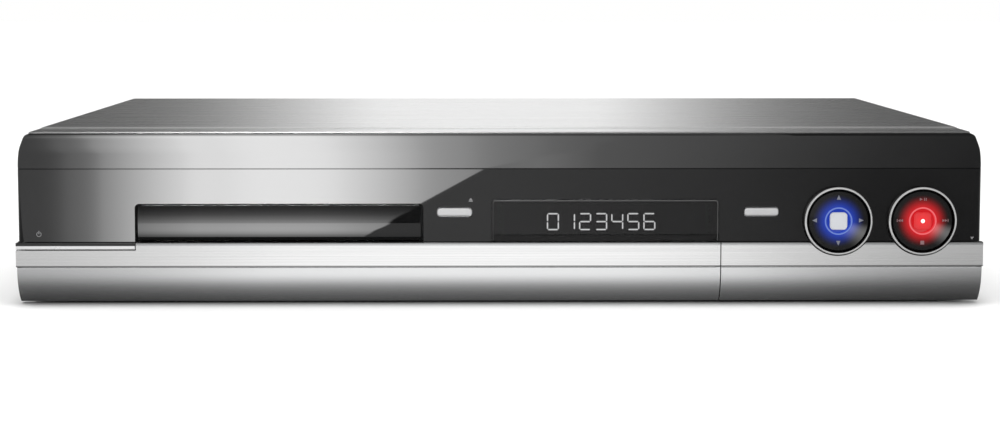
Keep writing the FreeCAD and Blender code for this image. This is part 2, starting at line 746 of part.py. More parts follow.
def make_front_frame():
    """Carrier behind the panel: wall, rim, connector bay, flap lugs and board posts."""
    inset = panel_wall + panel_gap
    rim = half_cover - cover_sheet - 0.3
    rim_top = height - cover_sheet - strip_drop - 0.1
    shell = panel_solid(inset, bay_top, panel_back_y + 0.1)
    shell = shell.cut(panel_solid(inset + frame_wall, bay_top - 1, frame_back_y + 5))
    tongue = pad([(-rim, fascia_bottom + 1.0), (rim, fascia_bottom + 1.0), (rim, rim_top, 2.0),
                  (-rim, rim_top, 2.0)], "front", panel_back_y + 0.1, frame_back_y)
    collar = box(-rim, rim, panel_back_y - 1.4, panel_back_y + 0.1, fascia_bottom + 1.0, panel_top - inset - 3.0)
    hollow = box(-rim + frame_wall, rim - frame_wall, panel_back_y - 3, frame_back_y + 1,
                 fascia_bottom + 3.0, rim_top - 4.6)
    back_wall_y = frame_y + 5.8
    lower = box(-rim, rim, back_wall_y, back_wall_y + frame_wall, fascia_bottom + 1.0, bay_top + 1)
    shelf = box(-rim, flap_left, frame_y + panel_gap, back_wall_y + frame_wall, bay_top, bay_top + 1.8)
    ceiling = box(flap_left - 2, rim, frame_y + panel_gap, frame_back_y, bay_top, bay_top + 1.0)
    bay_back = box(flap_left, rim, bay_back_y, frame_back_y, fascia_bottom + 1.0, bay_top + 1.0)
    left_cheek = box(flap_left, bay_left, band_y + 4.9, frame_back_y, fascia_bottom + 1.0, bay_top + 1.0)
    right_cheek = box(bay_right, half_front, band_y + 5.1, panel_back_y, fascia_bottom + 1.0, band_top - 0.1)
    right_wall = box(bay_right, rim, panel_back_y - 0.2, frame_back_y, fascia_bottom + 1.0, bay_top + 1.0)
    bay_hole = box(flap_left + 1.0, bay_right, panel_y, bay_back_y, fascia_bottom, bay_top)
    swing = rod(flap_swing, (flap_left - 0.2, flap_axis_y, flap_axis_z), (width, flap_axis_y, flap_axis_z))
    below = box(flap_left - 0.2, width, -depth, flap_axis_y + flap_swing, 0, flap_axis_z)
    lower = lower.cut(box(flap_left, width, -depth, depth, 0, height))
    frame = fused([shell, tongue.cut(hollow), collar.cut(hollow), lower, shelf])
    frame = frame.cut(fused([bay_hole, box(flap_left, width, -depth, frame_back_y + 1, 0, bay_top)]))
    frame = fused([frame, ceiling, bay_back, left_cheek, right_cheek, right_wall])
    frame = frame.cut(Part.makeCompound([swing, below]))
    lugs = []
    for x in lug_places():
        lugs.append(rod(ear_radius, (x, flap_axis_y, flap_axis_z), (x + ear_width, flap_axis_y, flap_axis_z)))
        lugs.append(box(x, x + ear_width, flap_axis_y - ear_radius, flap_axis_y + ear_radius, flap_axis_z,
                        bay_top + 0.5))
    posts = []
    for x, z in board_posts():
        posts.append(box(x - 2.0, x + 2.0, frame_y + 1.5, key_board_y, z - 2.0, z + 2.0))
    frame = fused([frame] + lugs + posts)
    cutters = [box(loader_left - 1.2, loader_right + 1.2, loader_y - 0.6, 0, loader_base_z - 0.6, loader_top_z + 1.0)]
    cutters.append(front_cut([(opening_left - 0.4, band_top), (opening_left + opening_width + 0.4, band_top),
                              (opening_left + opening_width + 0.4, opening_top + 0.4),
                              (opening_left - 0.4, opening_top + 0.4)]))
    for x in (open_button_x, ok_button_x):
        cutters.append(front_cut(centred(x, button_z, button_length + 4.4, button_height + 3.8)))
    cutters.append(front_cut(rectangle(window_left + 3.0, window_right - 3.0, panel_bottom + 2.5,
                                       window_top - 2.0)))
    for x, z in dial_places():
        cutters.append(rod(rocker_hole, (x, band_y, z), (x, key_board_y + 2, z)))
        r = pivot_radius + bearing_gap
        cutters.append(box(x - 14.9, x + 14.9, pivot_y - r, pivot_y + r, z - r, z + r))
    for x in (standby_x() - 13.0, standby_x(), standby_x() + 13.0):
        cutters.append(box(x - 1.8, x + 1.8, band_y, key_board_y - 1, standby_z - 1.3, standby_z + 1.3))
    for x in lug_places():
        cutters.append(rod(flap_pin_radius + bearing_gap, (x - 1, flap_axis_y, flap_axis_z),
                           (x + ear_width + 1, flap_axis_y, flap_axis_z)))
    cutters += front_socket_cutters(0.2)
    return frame.cut(Part.makeCompound(cutters))


# Controls

loader_left = tray_x - loader_outer
loader_right = tray_x + loader_outer


def standby_x():
    return -half_band + standby_length / 2


def board_posts():
    """Where the frame holds the front board and the standby board."""
    places = [(open_button_x - 7.0, 60.0), (ok_button_x, 60.0), (half_front - 14.0, 60.0)]
    places += [(ok_button_x - 6.0, 26.5), (half_front - 10.0, 26.5), (standby_x() - 7.0, 32.5)]
    return places


def make_standby_button():
    """Long bar at the end of the brushed band, on three guide stems."""
    x0 = -half_band
    front = [(band_y, standby_z - standby_height / 2, 0.4), (band_y, standby_z + standby_height / 2, 0.4),
             (band_y + 4.4, standby_z + standby_height / 2), (band_y + 4.4, standby_z - standby_height / 2)]
    bar = pad(front, "side", x0, x0 + standby_length)
    middle = standby_x()
    stems = []
    for x, end in ((middle - 13.0, frame_y + 3.5), (middle, switch_tip_y - button_travel - 0.05),
                   (middle + 13.0, frame_y + 3.5)):
        stems.append(box(x - 1.4, x + 1.4, band_y + 4, end, standby_z - 0.9, standby_z + 0.9))
    return fused([bar] + stems)


def make_panel_button(x):
    """Small pill-shaped key with a flange behind the panel and a stem to its switch."""
    y0 = panel_y - 0.3
    cap = pad(centred(x, button_z, button_length, button_height, 1.5), "front", y0, frame_y + 1.8)
    crown = pad([(y0, button_z - button_height / 2, 1.0), (y0, button_z + button_height / 2, 1.0),
                 (frame_y + 3, button_z + button_height / 2), (frame_y + 3, button_z - button_height / 2)],
                "side", x - 10, x + 10)
    flange = pad(centred(x, button_z, button_length + 2.4, button_height + 1.8), "front",
                 frame_y + 0.9, frame_y + 1.9)
    stem = box(x - 1.4, x + 1.4, frame_y + 1, switch_tip_y - button_travel - 0.05, button_z - 0.9,
               button_z + 0.9)
    return fused([cap.common(crown), flange, stem])


def make_dial_ring(x):
    """Bright ring round a pad, rounded at its rim."""
    back = frame_y + panel_gap - 0.05 + depth / 2
    inner = dial_radius - ring_wall
    profile = [(inner, 0.0), (dial_radius - 0.45, 0.0), (dial_radius, 0.45), (dial_radius, back),
               (inner, back)]
    return turned(profile, (x, -depth / 2, dial_z), "Y")


def make_dial_pad(x):
    """Four-way pad: crowned disc, web, and four pegs, two of them with pivot pins."""
    thick = pad_thickness
    bore = light_ring_radius + 0.06
    stem_bore = 1.6
    back = thick + 0.8
    profile = [(bore, -0.25), (pad_radius - 0.6, 0.0), (pad_radius, 0.6), (pad_radius, back), (stem_bore, back),
               (stem_bore, thick), (bore, thick)]
    disc = turned(profile, (x, pad_y, dial_z), "Y")
    end = switch_tip_y - 0.45
    parts = [disc]
    r = peg_radius
    for dx, dz in ((1, 0), (-1, 0), (0, 1), (0, -1)):
        px, pz = x + dx * peg_ring, dial_z + dz * peg_ring
        parts.append(box(px - r, px + r, pad_y + back - 0.3, end, pz - r, pz + r))
        if dz:
            parts.append(rod(pivot_radius, (px, pivot_y, pz), (px, pivot_y, dial_z + dz * 12.2)))
    return fused(parts)


def make_rocker(x):
    """Ring that tilts up and down in the frame and lets its pad tilt sideways."""
    ring = turned([(rocker_inner, -1.0), (rocker_outer, -1.0), (rocker_outer, 1.0), (rocker_inner, 1.0)],
                  (x, pivot_y, dial_z), "Y")
    pins = [rod(pivot_radius, (x + s * (rocker_outer - 0.2), pivot_y, dial_z), (x + s * 14.5, pivot_y, dial_z))
            for s in (-1, 1)]
    r = pivot_radius + bearing_gap
    seat = box(x - r, x + r, pivot_y - r, pivot_y + r, dial_z - 14, dial_z + 14)
    return fused([ring.cut(seat)] + pins)


def make_light_ring(x):
    """Clear ring round a centre button, resting on the pad's web."""
    inner = light_ring_radius - light_ring_wall
    profile = [(inner, -0.4), (light_ring_radius, -0.4), (light_ring_radius, pad_thickness - 0.05),
               (inner, pad_thickness - 0.05)]
    return turned(profile, (x, pad_y, dial_z), "Y")


def make_centre_button(x):
    """Square button with a dished face and a stem through the pad's web."""
    y0 = pad_y - 0.7
    cap = pad(centred(x, dial_z, centre_size, centre_size, centre_corner), "front", y0, pad_y + 1.1)
    cap = cap.makeChamfer(0.35, [e for e in cap.Edges if abs(e.CenterOfMass.y - y0) < 0.01])
    stem = box(x - 1.05, x + 1.05, pad_y + 1, switch_tip_y - button_travel - 0.05, dial_z - 1.05, dial_z + 1.05)
    return fused([cap, stem])


def switch_places():
    places = [(standby_x(), standby_z), (open_button_x, button_z), (ok_button_x, button_z)]
    for x, z in dial_places():
        places += [(x, z), (x + peg_ring, z), (x - peg_ring, z), (x, z + peg_ring), (x, z - peg_ring)]
    return places


def make_key_switches():
    """Tact switches: a square body with a square plunger."""
    switches = []
    for x, z in switch_places():
        body = pad(centred(x, z, 6.0, 6.0), "front", key_board_y - 3.5, key_board_y)
        plunger = pad(centred(x, z, 2.6, 2.6), "front", switch_tip_y, key_board_y - 3.4)
        switches.append(fused([body, plunger]))
    return switches


def make_front_board():
    """Circuit board behind the display and dials, with a row of parts on its back."""
    board = pad(rectangle(open_button_x - 10.0, rim_edge() - 3.0, 24.5, 66.0), "front", key_board_y,
                key_board_y + board_thickness)
    chips = [box(x, x + 14.0, key_board_y + board_thickness - 0.1, key_board_y + board_thickness + 2.0, 44.0, 54.0)
             for x in (30.0, 62.0, 120.0)]
    return fused([board] + chips)


def rim_edge():
    return half_cover - cover_sheet - 0.3 - frame_wall


def make_standby_board():
    return pad(rectangle(standby_x() - 10.0, standby_x() + 14.0, 21.0, 36.0), "front", key_board_y,
               key_board_y + board_thickness)


def make_display_module():
    """Flat glass display with a metal frame, on the front board."""
    glass = box(window_left + 6.0, window_right - 6.0, key_board_y - 6.3, key_board_y - 1.2, 31.8, 44.9)
    spacer = box(window_left + 10.0, window_right - 10.0, key_board_y - 1.3, key_board_y, 33.5, 43.0)
    return fused([glass, spacer])


def make_front_sockets():
    """Three phono sockets behind the flap."""
    return [phono_socket(x, bay_back_y, bay_z, -1, 10.0) for x in front_socket_places()[:3]]


def make_small_sockets():
    """Round, camera and flat data sockets behind the flap, each with its tongue."""
    xs = front_socket_places()
    tip = bay_back_y - 2.0
    back = frame_back_y + 9.0
    round_body = rod(5.6, (xs[3], tip, bay_z), (xs[3], frame_back_y + 0.2, bay_z))
    block = box(xs[3] - 6.5, xs[3] + 6.5, frame_back_y + 0.2, back, bay_z - 6.2, bay_z + 5.4)
    bore = rod(4.4, (xs[3], tip - 1, bay_z), (xs[3], tip + 5.0, bay_z))
    key = box(xs[3] - 1.2, xs[3] + 1.2, tip + 0.5, tip + 5.2, bay_z - 3.4, bay_z - 2.2)
    round_socket = fused([fused([round_body, block]).cut(bore), key])
    sockets = [round_socket]
    for x, across, up, tongue in ((xs[4], 7.6, 5.4, 3.4), (xs[5], 13.4, 6.0, 10.6)):
        shell = box(x - across / 2, x + across / 2, tip, back, bay_z - up / 2, bay_z + up / 2)
        legs = box(x - across / 2, x + across / 2, frame_back_y + 0.3, back, bay_z - 6.2, bay_z)
        mouth = box(x - across / 2 + 0.6, x + across / 2 - 0.6, tip - 1, tip + 8.0, bay_z - up / 2 + 0.6,
                    bay_z + up / 2 - 0.6)
        bar = box(x - tongue / 2, x + tongue / 2, tip + 0.6, tip + 8.2, bay_z - 0.2, bay_z + 1.2)
        sockets.append(fused([fused([shell, legs]).cut(mouth), bar]))
    return sockets


def make_socket_board():
    """Small board under the front sockets, on two posts of its own."""
    xs = front_socket_places()
    top = bay_z - 6.3
    board = box(xs[0] - 8.0, xs[5] + 9.0, frame_back_y + 0.4, frame_back_y + 12.0, top - board_thickness, top)
    y = frame_back_y + 6.0
    feet = [box(x - 1.8, x + 1.8, y - 1.8, y + 1.8, floor_z, top - board_thickness + 0.1)
            for x in (xs[0] - 4.0, xs[5] + 5.0)]
    return fused([board] + feet)


# Tray and its drive

def make_tray():
    """Disc tray: deck with two disc wells, an open slot for the hub, rails and a rack."""
    y0, y1 = door_back_y, door_back_y + tray_length
    rim_z = rim_top_z
    deck = pad(rectangle(tray_x - tray_half, tray_x + tray_half, y0, y1), "top", tray_floor_z, rim_z)
    wells = [rod(disc_radius + 0.6, (tray_x, disc_y, well_floor_z), (tray_x, disc_y, rim_z + 1)),
             rod(40.6, (tray_x, disc_y, well_floor_z - 0.9), (tray_x, disc_y, well_floor_z + 1)),
             rod(17.5, (tray_x, disc_y, tray_floor_z - 1), (tray_x, disc_y, rim_z + 1)),
             box(tray_x - 17.5, tray_x + 17.5, disc_y, y1 + 1, tray_floor_z - 1, rim_z + 1)]
    for s in (-1, 1):
        x0 = tray_x + s * 19.5
        x1 = tray_x + s * (tray_half - 2.0)
        rear = pad(rectangle(min(x0, x1), max(x0, x1), y1 - 26.0, y1 - 2.0), "top", well_floor_z, rim_z + 1)
        wells.append(rear)
    deck = deck.cut(Part.makeCompound(wells))
    skirts = [box(tray_x + s * tray_half - (1.8 if s > 0 else 0), tray_x + s * tray_half + (0 if s > 0 else 1.8),
                  y0 + 3, y1 - 1, 31.6, tray_floor_z + 0.5) for s in (-1, 1)]
    lip = box(tray_x - tray_half + 2.0, tray_x + tray_half - 2.0, y0, y0 + 2.2, 31.0, rim_z + 2.6)
    return fused([deck, lip] + skirts + [make_rack()])


def make_tray_front():
    """Hollow glossy front of the tray, bulged from top to bottom."""
    x0, x1 = opening_left + door_gap, opening_left + opening_width - door_gap
    z0, z1 = band_top + 0.7, opening_top - 1.0
    middle = (z0 + z1) / 2
    bulge = 28.0
    face = panel_y + 0.35
    body = pad(rectangle(x0, x1, z0, z1, 1.0), "front", face, door_back_y)
    body = body.common(rod(bulge, (x0 - 1, face + bulge, middle), (x1 + 1, face + bulge, middle)))
    hollow = box(x0 + 1.8, x1 - 1.8, face + 2.6, door_back_y - 1.6, z0 + 1.8, z1 - 1.8)
    slots = box(x0 + 8.0, x1 - 8.0, door_back_y - 2.0, door_back_y + 1, z1 - 5.0, z1 - 3.0)
    return body.cut(hollow).cut(slots)


def make_rack():
    """Straight rack under the tray's left side."""
    pitch = math.pi * module
    first = gear_y - 3 * pitch
    count = int((tray_travel + 6 * pitch) / pitch) + 1
    root = rack_x - 1.05 * module
    tip = rack_x + 0.8 * module
    slope = math.tan(math.radians(20.0))
    half = pitch / 4 - mesh_backlash / 4
    wide = half + slope * 1.05 * module
    thin = half - slope * 0.8 * module
    corners = [(root - 2.4, first - pitch / 2), (root, first - pitch / 2)]
    for i in range(count):
        y = first + i * pitch
        corners += [(root, y - wide), (tip, y - thin), (tip, y + thin), (root, y + wide)]
    end = first + (count - 0.5) * pitch
    corners += [(root, end), (root - 2.4, end)]
    return pad(corners, "top", rack_z, tray_floor_z + 0.5)


def gear_outline(teeth, x, y, phase):
    """Gear outline with short straight-sided teeth, the first one's middle at a phase in degrees."""
    pitch_radius = teeth * module / 2
    base = pitch_radius * math.cos(math.radians(20.0))
    outer = pitch_radius + 0.8 * module
    root = pitch_radius - 1.05 * module
    half = math.pi / (2 * teeth) - mesh_backlash / 4 / pitch_radius
    rise = math.tan(math.radians(20.0)) - math.radians(20.0)
    corners = []
    for tooth in range(teeth):
        middle = math.radians(phase) + tooth * 2 * math.pi / teeth
        flank = []
        low = max(base, root)
        for radius in (low, outer):
            lean = math.acos(min(1.0, base / radius))
            flank.append((radius, half + rise - (math.tan(lean) - lean)))
        if root < base - 0.05:
            flank.insert(0, (root, flank[0][1]))
        for radius, angle in flank:
            corners.append((x + radius * math.cos(middle - angle), y + radius * math.sin(middle - angle)))
        for radius, angle in reversed(flank):
            corners.append((x + radius * math.cos(middle + angle), y + radius * math.sin(middle + angle)))
    return corners


def pulley(radius, x, y):
    """Belt pulley with a square groove."""
    half = belt_thickness / 2 + 0.3
    middle = pulley_height / 2
    profile = [(0, 0), (radius, 0), (radius, middle - half), (radius - groove_depth, middle - half),
               (radius - groove_depth, middle + half), (radius, middle + half), (radius, pulley_height),
               (0, pulley_height)]
    return turned(profile, (x, y, pulley_z))


def make_tray_gear():
    """Wheel that meshes with the pulley's pinion, with the rack pinion on top."""
    wheel = pad(gear_outline(wheel_teeth, tray_gear_x, gear_y, 0.0), "top", wheel_z, wheel_z + wheel_height)
    half_step = 180.0 / rack_pinion_teeth
    pinion = pad(gear_outline(rack_pinion_teeth, tray_gear_x, gear_y, half_step), "top",
                 wheel_z + wheel_height - 0.1, tray_floor_z - 0.4)
    boss = rod(4.0, (tray_gear_x, gear_y, loader_base_top + 0.3), (tray_gear_x, gear_y, wheel_z + 0.1))
    bore = rod(axle_radius + bearing_gap, (tray_gear_x, gear_y, loader_base_top), (tray_gear_x, gear_y, 40))
    return fused([wheel, pinion, boss]).cut(bore)


def make_pulley_gear():
    """Belt pulley with its small pinion."""
    half_step = 180.0 / drive_pinion_teeth
    pinion = pad(gear_outline(drive_pinion_teeth, pulley_gear_x, gear_y, 180.0 + half_step), "top",
                 pulley_z + pulley_height - 0.1, wheel_z + wheel_height)
    body = pulley(pulley_radius, pulley_gear_x, gear_y)
    bore = rod(axle_radius + bearing_gap, (pulley_gear_x, gear_y, loader_base_top), (pulley_gear_x, gear_y, 40))
    return fused([body, pinion]).cut(bore)


def make_motor_pulley():
    """Small pulley on the loading motor's shaft."""
    bore = rod(1.0 + bearing_gap, (motor_x, gear_y, 0), (motor_x, gear_y, pulley_z + pulley_height - 0.6))
    return pulley(motor_pulley_radius, motor_x, gear_y).cut(bore)


def make_drive_belt():
    """Square rubber belt round the two pulleys."""
    gap = slide_gap
    big = pulley_radius - groove_depth + gap
    small = motor_pulley_radius - groove_depth + gap
    span = motor_x - pulley_gear_x
    z0 = pulley_z + pulley_height / 2 - belt_thickness / 2

    def loop(extra):
        r1, r2 = big + extra, small + extra
        lean = math.degrees(math.acos((r1 - r2) / span))
        points = arc_corners((pulley_gear_x, gear_y), r1, lean, 360.0 - lean, 24)
        points += arc_corners((motor_x, gear_y), r2, -lean, lean, 10)
        return pad(points, "top", z0, z0 + belt_thickness)

    return loop(belt_thickness).cut(loop(0.0))


def make_loading_motor():
    """Round motor under the loader's base, its shaft up through the base."""
    can = rod(10.0, (motor_x, gear_y, floor_z + 0.6), (motor_x, gear_y, loader_base_z - 0.05))
    return fused([can, rod(1.0, (motor_x, gear_y, loader_base_z - 1), (motor_x, gear_y, pulley_z + 2.9))])


def make_loader_frame():
    """Open tub that guides the tray: base, walls, ledges, hooks, axle pins and legs."""
    x0, x1 = loader_left, loader_right
    base = box(x0, x1, loader_y, loader_end_y, loader_base_z, loader_base_top)
    hole = box(tray_x - traverse_half - 2.0, tray_x + traverse_half + 2.0, traverse_front_y - 2.0,
               hinge_y + 6.0, 0, height)
    notch = box(tray_x - 5.5, tray_x + 5.5, traverse_front_y - 4.2, traverse_front_y, 0, loader_base_top + 1)
    parts = [base.cut(hole).cut(notch)]
    top = loader_top_z - 1.5
    for s in (-1, 1):
        inner = tray_x + s * loader_inner
        outer = tray_x + s * loader_outer
        parts.append(box(min(inner, outer), max(inner, outer), loader_y, loader_end_y, loader_base_z, top))
        ledge = tray_x + s * (loader_inner - 2.6)
        parts.append(box(min(ledge, inner) - 0.1, max(ledge, inner) + 0.1, loader_y + 2, loader_end_y, 29.6, 31.3))
        for y in (loader_y + 6.0, disc_y, disc_y + 60.0):
            hook = tray_x + s * (loader_inner - 1.8)
            parts.append(box(min(hook, inner) - 0.1, max(hook, inner) + 0.1, y, y + 12.0, rim_top_z + slide_gap,
                             rim_top_z + slide_gap + 1.6))
        for y in (frame_back_y + 10.0, loader_end_y - 10.0):
            leg_x = tray_x + s * (loader_outer - 5.0)
            parts.append(box(leg_x - 5.0, leg_x + 5.0, y - 5.0, y + 5.0, floor_z, loader_base_z + 0.1))
        post = tray_x + s * (traverse_half + 1.0)
        post_end = tray_x + s * (traverse_half + 6.0)
        parts.append(box(min(post, post_end), max(post, post_end), hinge_y - 5.0, hinge_y + 5.0, loader_base_z,
                         hinge_z + 4.0))
        side = tray_x + s * (traverse_half + 2.5)
        side_end = tray_x + s * (traverse_half + 6.0)
        parts.append(box(min(side, side_end), max(side, side_end), hinge_y - 5.0, hinge_y + 8.0, loader_base_z,
                         loader_base_top))
    parts.append(box(x0, x1, loader_end_y - 2.5, loader_end_y, loader_base_z, 28.0))
    parts.append(box(x0, x1, loader_y, loader_y + 1.0, loader_base_z, 27.6))
    guide = cam_y + cam_thick + slide_gap
    parts.append(box(tray_x - 40.0, tray_x + 34.0, guide, guide + 1.4, loader_base_top - 0.1, loader_base_top + 1.5))
    parts.append(box(tray_x - 40.0, tray_x + 34.0, cam_y - slide_gap - 1.4, cam_y - slide_gap,
                     loader_base_top - 0.1, loader_base_top + 1.5))
    for x, end in ((tray_gear_x, tray_floor_z - 0.2), (pulley_gear_x, wheel_z + wheel_height)):
        parts.append(rod(axle_radius, (x, gear_y, loader_base_top - 0.1), (x, gear_y, end)))
    bores = [rod(2.0 + bearing_gap, (tray_x - 60, hinge_y, hinge_z), (tray_x + 60, hinge_y, hinge_z)),
             rod(1.6, (motor_x, gear_y, 0), (motor_x, gear_y, height))]
    return fused(parts).cut(Part.makeCompound(bores))


cam_y = traverse_front_y - 9.1
cam_thick = 3.0
peg_z = 28.5


def make_cam_slider():
    """Slider with a slanted slot that lifts and lowers the traverse's front."""
    x0, x1 = tray_x - cam_travel - 10.0, tray_x + 12.0
    reach = hinge_y - cam_y - cam_thick / 2
    drop = reach * math.sin(math.radians(lift_degrees))
    plate = pad(rectangle(x0, x1, loader_base_top + slide_gap, peg_z + 4.2), "front", cam_y, cam_y + cam_thick)
    ends = [(tray_x, peg_z), (tray_x - cam_travel, peg_z - drop)]
    slope = math.atan2(drop, cam_travel)
    half = 1.5 + slide_gap + 0.05
    dx, dz = half * math.sin(slope), half * math.cos(slope)
    slot = [(ends[0][0] - dx, ends[0][1] + dz), (ends[1][0] - dx, ends[1][1] + dz),
            (ends[1][0] + dx, ends[1][1] - dz), (ends[0][0] + dx, ends[0][1] - dz)]
    cutters = [pad(slot, "front", cam_y - 1, cam_y + cam_thick + 1)]
    for x, z in ends:
        cutters.append(rod(half, (x, cam_y - 1, z), (x, cam_y + cam_thick + 1, z)))
    return plate.cut(Part.makeCompound(cutters))


def make_loader_cover():
    """Pressed cover over the loader with a stepped opening for the clamp bridge."""
    x0, x1 = loader_left, loader_right
    z0 = loader_top_z - 1.5
    plate = box(x0, x1, loader_y + 3.0, loader_end_y, z0, z0 + 0.8)
    hump = pad(rectangle(x0 + 12.0, x1 - 12.0, disc_y - 52.0, disc_y + 62.0, 14.0), "top", z0, z0 + 2.2)
    hollow = pad(rectangle(x0 + 12.8, x1 - 12.8, disc_y - 51.2, disc_y + 61.2, 13.2), "top", z0 - 1, z0 + 1.4)
    opening = box(tray_x - 40.0, tray_x + 40.0, disc_y - 18.0, disc_y + 18.0, z0 - 1, z0 + 5)
    return fused([plate, hump]).cut(hollow).cut(opening)


def make_clamp_bridge():
    """Plastic bridge over the disc with a raised ring that holds the clamper."""
    z0 = loader_top_z - 1.5 + 2.25
    bar = box(tray_x - 46.0, tray_x + 46.0, disc_y - 16.0, disc_y + 16.0, z0, z0 + 1.4)
    ring = rod(17.8, (tray_x, disc_y, z0), (tray_x, disc_y, z0 + 2.2))
    well = rod(16.9, (tray_x, disc_y, z0 + 0.2), (tray_x, disc_y, z0 + 5))
    hole = rod(11.6, (tray_x, disc_y, 0), (tray_x, disc_y, height))
    cross = fused([bar, ring.cut(well)])
    return cross.cut(Part.makeCompound([hole, well]))


def make_clamper():
    """Puck that presses the disc on the hub: flange above the bridge, skirt below."""
    z0 = loader_top_z - 1.5 + 2.2
    low = 40.4
    profile = [(8.4, low + 1.8), (8.4, low), (16.0, low), (16.0, low + 1.4), (11.0, low + 2.2),
               (11.0, z0 + 0.5), (16.4, z0 + 0.5), (16.4, z0 + 1.7), (0, z0 + 2.4), (0, low + 1.8)]
    return turned(profile, (tray_x, disc_y, 0))


# Traverse

def make_traverse():
    """Plate that carries the spindle and the sled's guides, pinned at its rear."""
    x0, x1 = tray_x - traverse_half, tray_x + traverse_half
    plate = pad(rectangle(x0, x1, traverse_front_y, hinge_y + 4.0), "top", traverse_z,
                traverse_z + traverse_plate)
    holes = [box(tray_x - 25.0, tray_x + 31.0, disc_y + 15.0, hinge_y - 7.0, 0, height)]
    for x in (tray_x - 34.0, tray_x + 35.5):
        holes.append(box(x - 3.0, x + 3.0, disc_y - 14.0, disc_y + 46.0, 0, height))
    parts = [plate.cut(Part.makeCompound(holes))]
    for x, half in ((tray_x - rod_offset, 3.6), (tray_x + rod_offset, 2.9), (tray_x + screw_offset, 2.9)):
        for y in (disc_y + 11.6, hinge_y - 7.2):
            if x == tray_x + screw_offset and y < disc_y + 20:
                continue
            parts.append(box(x - half, x + half, y, y + 3.2, traverse_z + 1, rod_z + 3.0))
    pins = [rod(2.0, (tray_x + s * (traverse_half - 0.2), hinge_y, hinge_z),
                (tray_x + s * (traverse_half + 5.5), hinge_y, hinge_z)) for s in (-1, 1)]
    arm_top = peg_z + 1.8
    arm = pad([(traverse_front_y - 3.6, traverse_z + 3.0), (traverse_front_y - 3.6, arm_top),
               (traverse_front_y, arm_top), (traverse_front_y + 6.0, traverse_z + traverse_plate),
               (traverse_front_y + 6.0, traverse_z), (traverse_front_y, traverse_z)], "side", tray_x - 4.0,
              tray_x + 4.0)
    peg = rod(1.5, (tray_x, cam_y - 0.6, peg_z), (tray_x, traverse_front_y - 2.0, peg_z))
    body = fused(parts + pins + [arm, peg])
    bores = []
    for x in (tray_x - rod_offset, tray_x + rod_offset):
        bores.append(rod(rod_radius + 0.02, (x, disc_y + 12.4, rod_z), (x, hinge_y - 4.8, rod_z)))
    bores.append(rod(1.2 + bearing_gap, (tray_x + screw_offset, disc_y, rod_z),
                     (tray_x + screw_offset, hinge_y - 4.8, rod_z)))
    return body.cut(Part.makeCompound(bores))


def make_guide_rods():
    """Two polished rods the sled runs on."""
    return [rod(rod_radius, (x, disc_y + 12.5, rod_z), (x, hinge_y - 4.9, rod_z))
            for x in (tray_x - rod_offset, tray_x + rod_offset)]


def make_spindle_motor():
    """Flat motor on the traverse with a thin shaft."""
    z0 = traverse_z + traverse_plate
    profile = [(0, z0), (11.4, z0), (11.4, z0 + 8.2), (0, z0 + 8.2)]
    shaft = rod(1.0, (tray_x, disc_y, z0 + 8), (tray_x, disc_y, disc_seat_z))
    return fused([turned(profile, (tray_x, disc_y, 0)), shaft])


def make_turntable():
    """Turntable with a seat for the disc and a chamfered hub."""
    z0 = traverse_z + traverse_plate + 9.3
    bore = 1.0 + bearing_gap
    profile = [(bore, z0), (5.0, z0), (5.0, disc_seat_z - 2.0), (turntable_radius, disc_seat_z - 2.0),
               (turntable_radius, disc_seat_z), (7.45, disc_seat_z), (6.6, disc_seat_z + 2.2),
               (bore, disc_seat_z + 2.2)]
    return turned(profile, (tray_x, disc_y, 0))


def make_sled():
    """Laser sled: saddle on two rods, raised lens block, and an arm to the lead screw."""
    y0 = disc_y + 16.4
    y1 = y0 + sled_length
    lens_y = y0 + 8.5
    body = pad([(tray_x - 24.0, y0), (tray_x + 24.0, y0), (tray_x + 24.0, y1), (tray_x + 10.0, y1),
                (tray_x + 8.0, y1 - 3.0), (tray_x - 8.0, y1 - 3.0), (tray_x - 10.0, y1), (tray_x - 24.0, y1)],
               "top", 25.2, 30.6)
    block = pad(centred(tray_x, lens_y, 18.0, 15.0, 2.0), "top", 30.5, 33.4)
    mount = rod(4.2, (tray_x, lens_y, 33.3), (tray_x, lens_y, 34.6))
    arm = box(tray_x + 23.5, tray_x + screw_offset + 2.6, y1 - 9.0, y1 - 3.0, rod_z + 2.0, rod_z + 3.4)
    tooth = box(tray_x + screw_offset - 1.0, tray_x + screw_offset + 1.0, y1 - 7.0, y1 - 5.0, rod_z + 1.9,
                rod_z + 3.0)
    bores = [rod(rod_radius + bearing_gap, (x, y0 - 1, rod_z), (x, y1 + 1, rod_z))
             for x in (tray_x - rod_offset, tray_x + rod_offset)]
    return fused([body, block, mount, arm, tooth]).cut(Part.makeCompound(bores))


def make_pickup_lens():
    """Small glass lens in the sled's round mount."""
    lens_y = disc_y + 16.4 + 8.5
    return turned([(0, 34.65), (2.3, 34.65), (1.6, 35.5), (0, 35.7)], (tray_x, lens_y, 0))


def make_feed_motor():
    """Small round motor that turns the lead screw."""
    x = tray_x + screw_offset
    z = rod_z + 0.5
    can = rod(4.2, (x, disc_y - 9.0, rod_z + 1.9), (x, disc_y + 10.5, rod_z + 1.9))
    foot = box(x - 4.0, x + 4.0, disc_y - 8.0, disc_y + 9.0, traverse_z + traverse_plate, z)
    bush = rod(2.6, (x, disc_y + 10.4, rod_z), (x, disc_y + 12.0, rod_z))
    bore = rod(1.2 + bearing_gap, (x, disc_y + 9.0, rod_z), (x, disc_y + 13.0, rod_z))
    return fused([can, foot, bush]).cut(bore)


def make_lead_screw():
    """Lead screw between the feed motor and the traverse's rear bearing."""
    x = tray_x + screw_offset
    return fused([rod(1.2, (x, disc_y + 9.2, rod_z), (x, hinge_y - 4.9, rod_z)),
                  rod(1.7, (x, disc_y + 12.6, rod_z), (x, hinge_y - 7.6, rod_z))])


# Hard disk, boards, power supply and fan

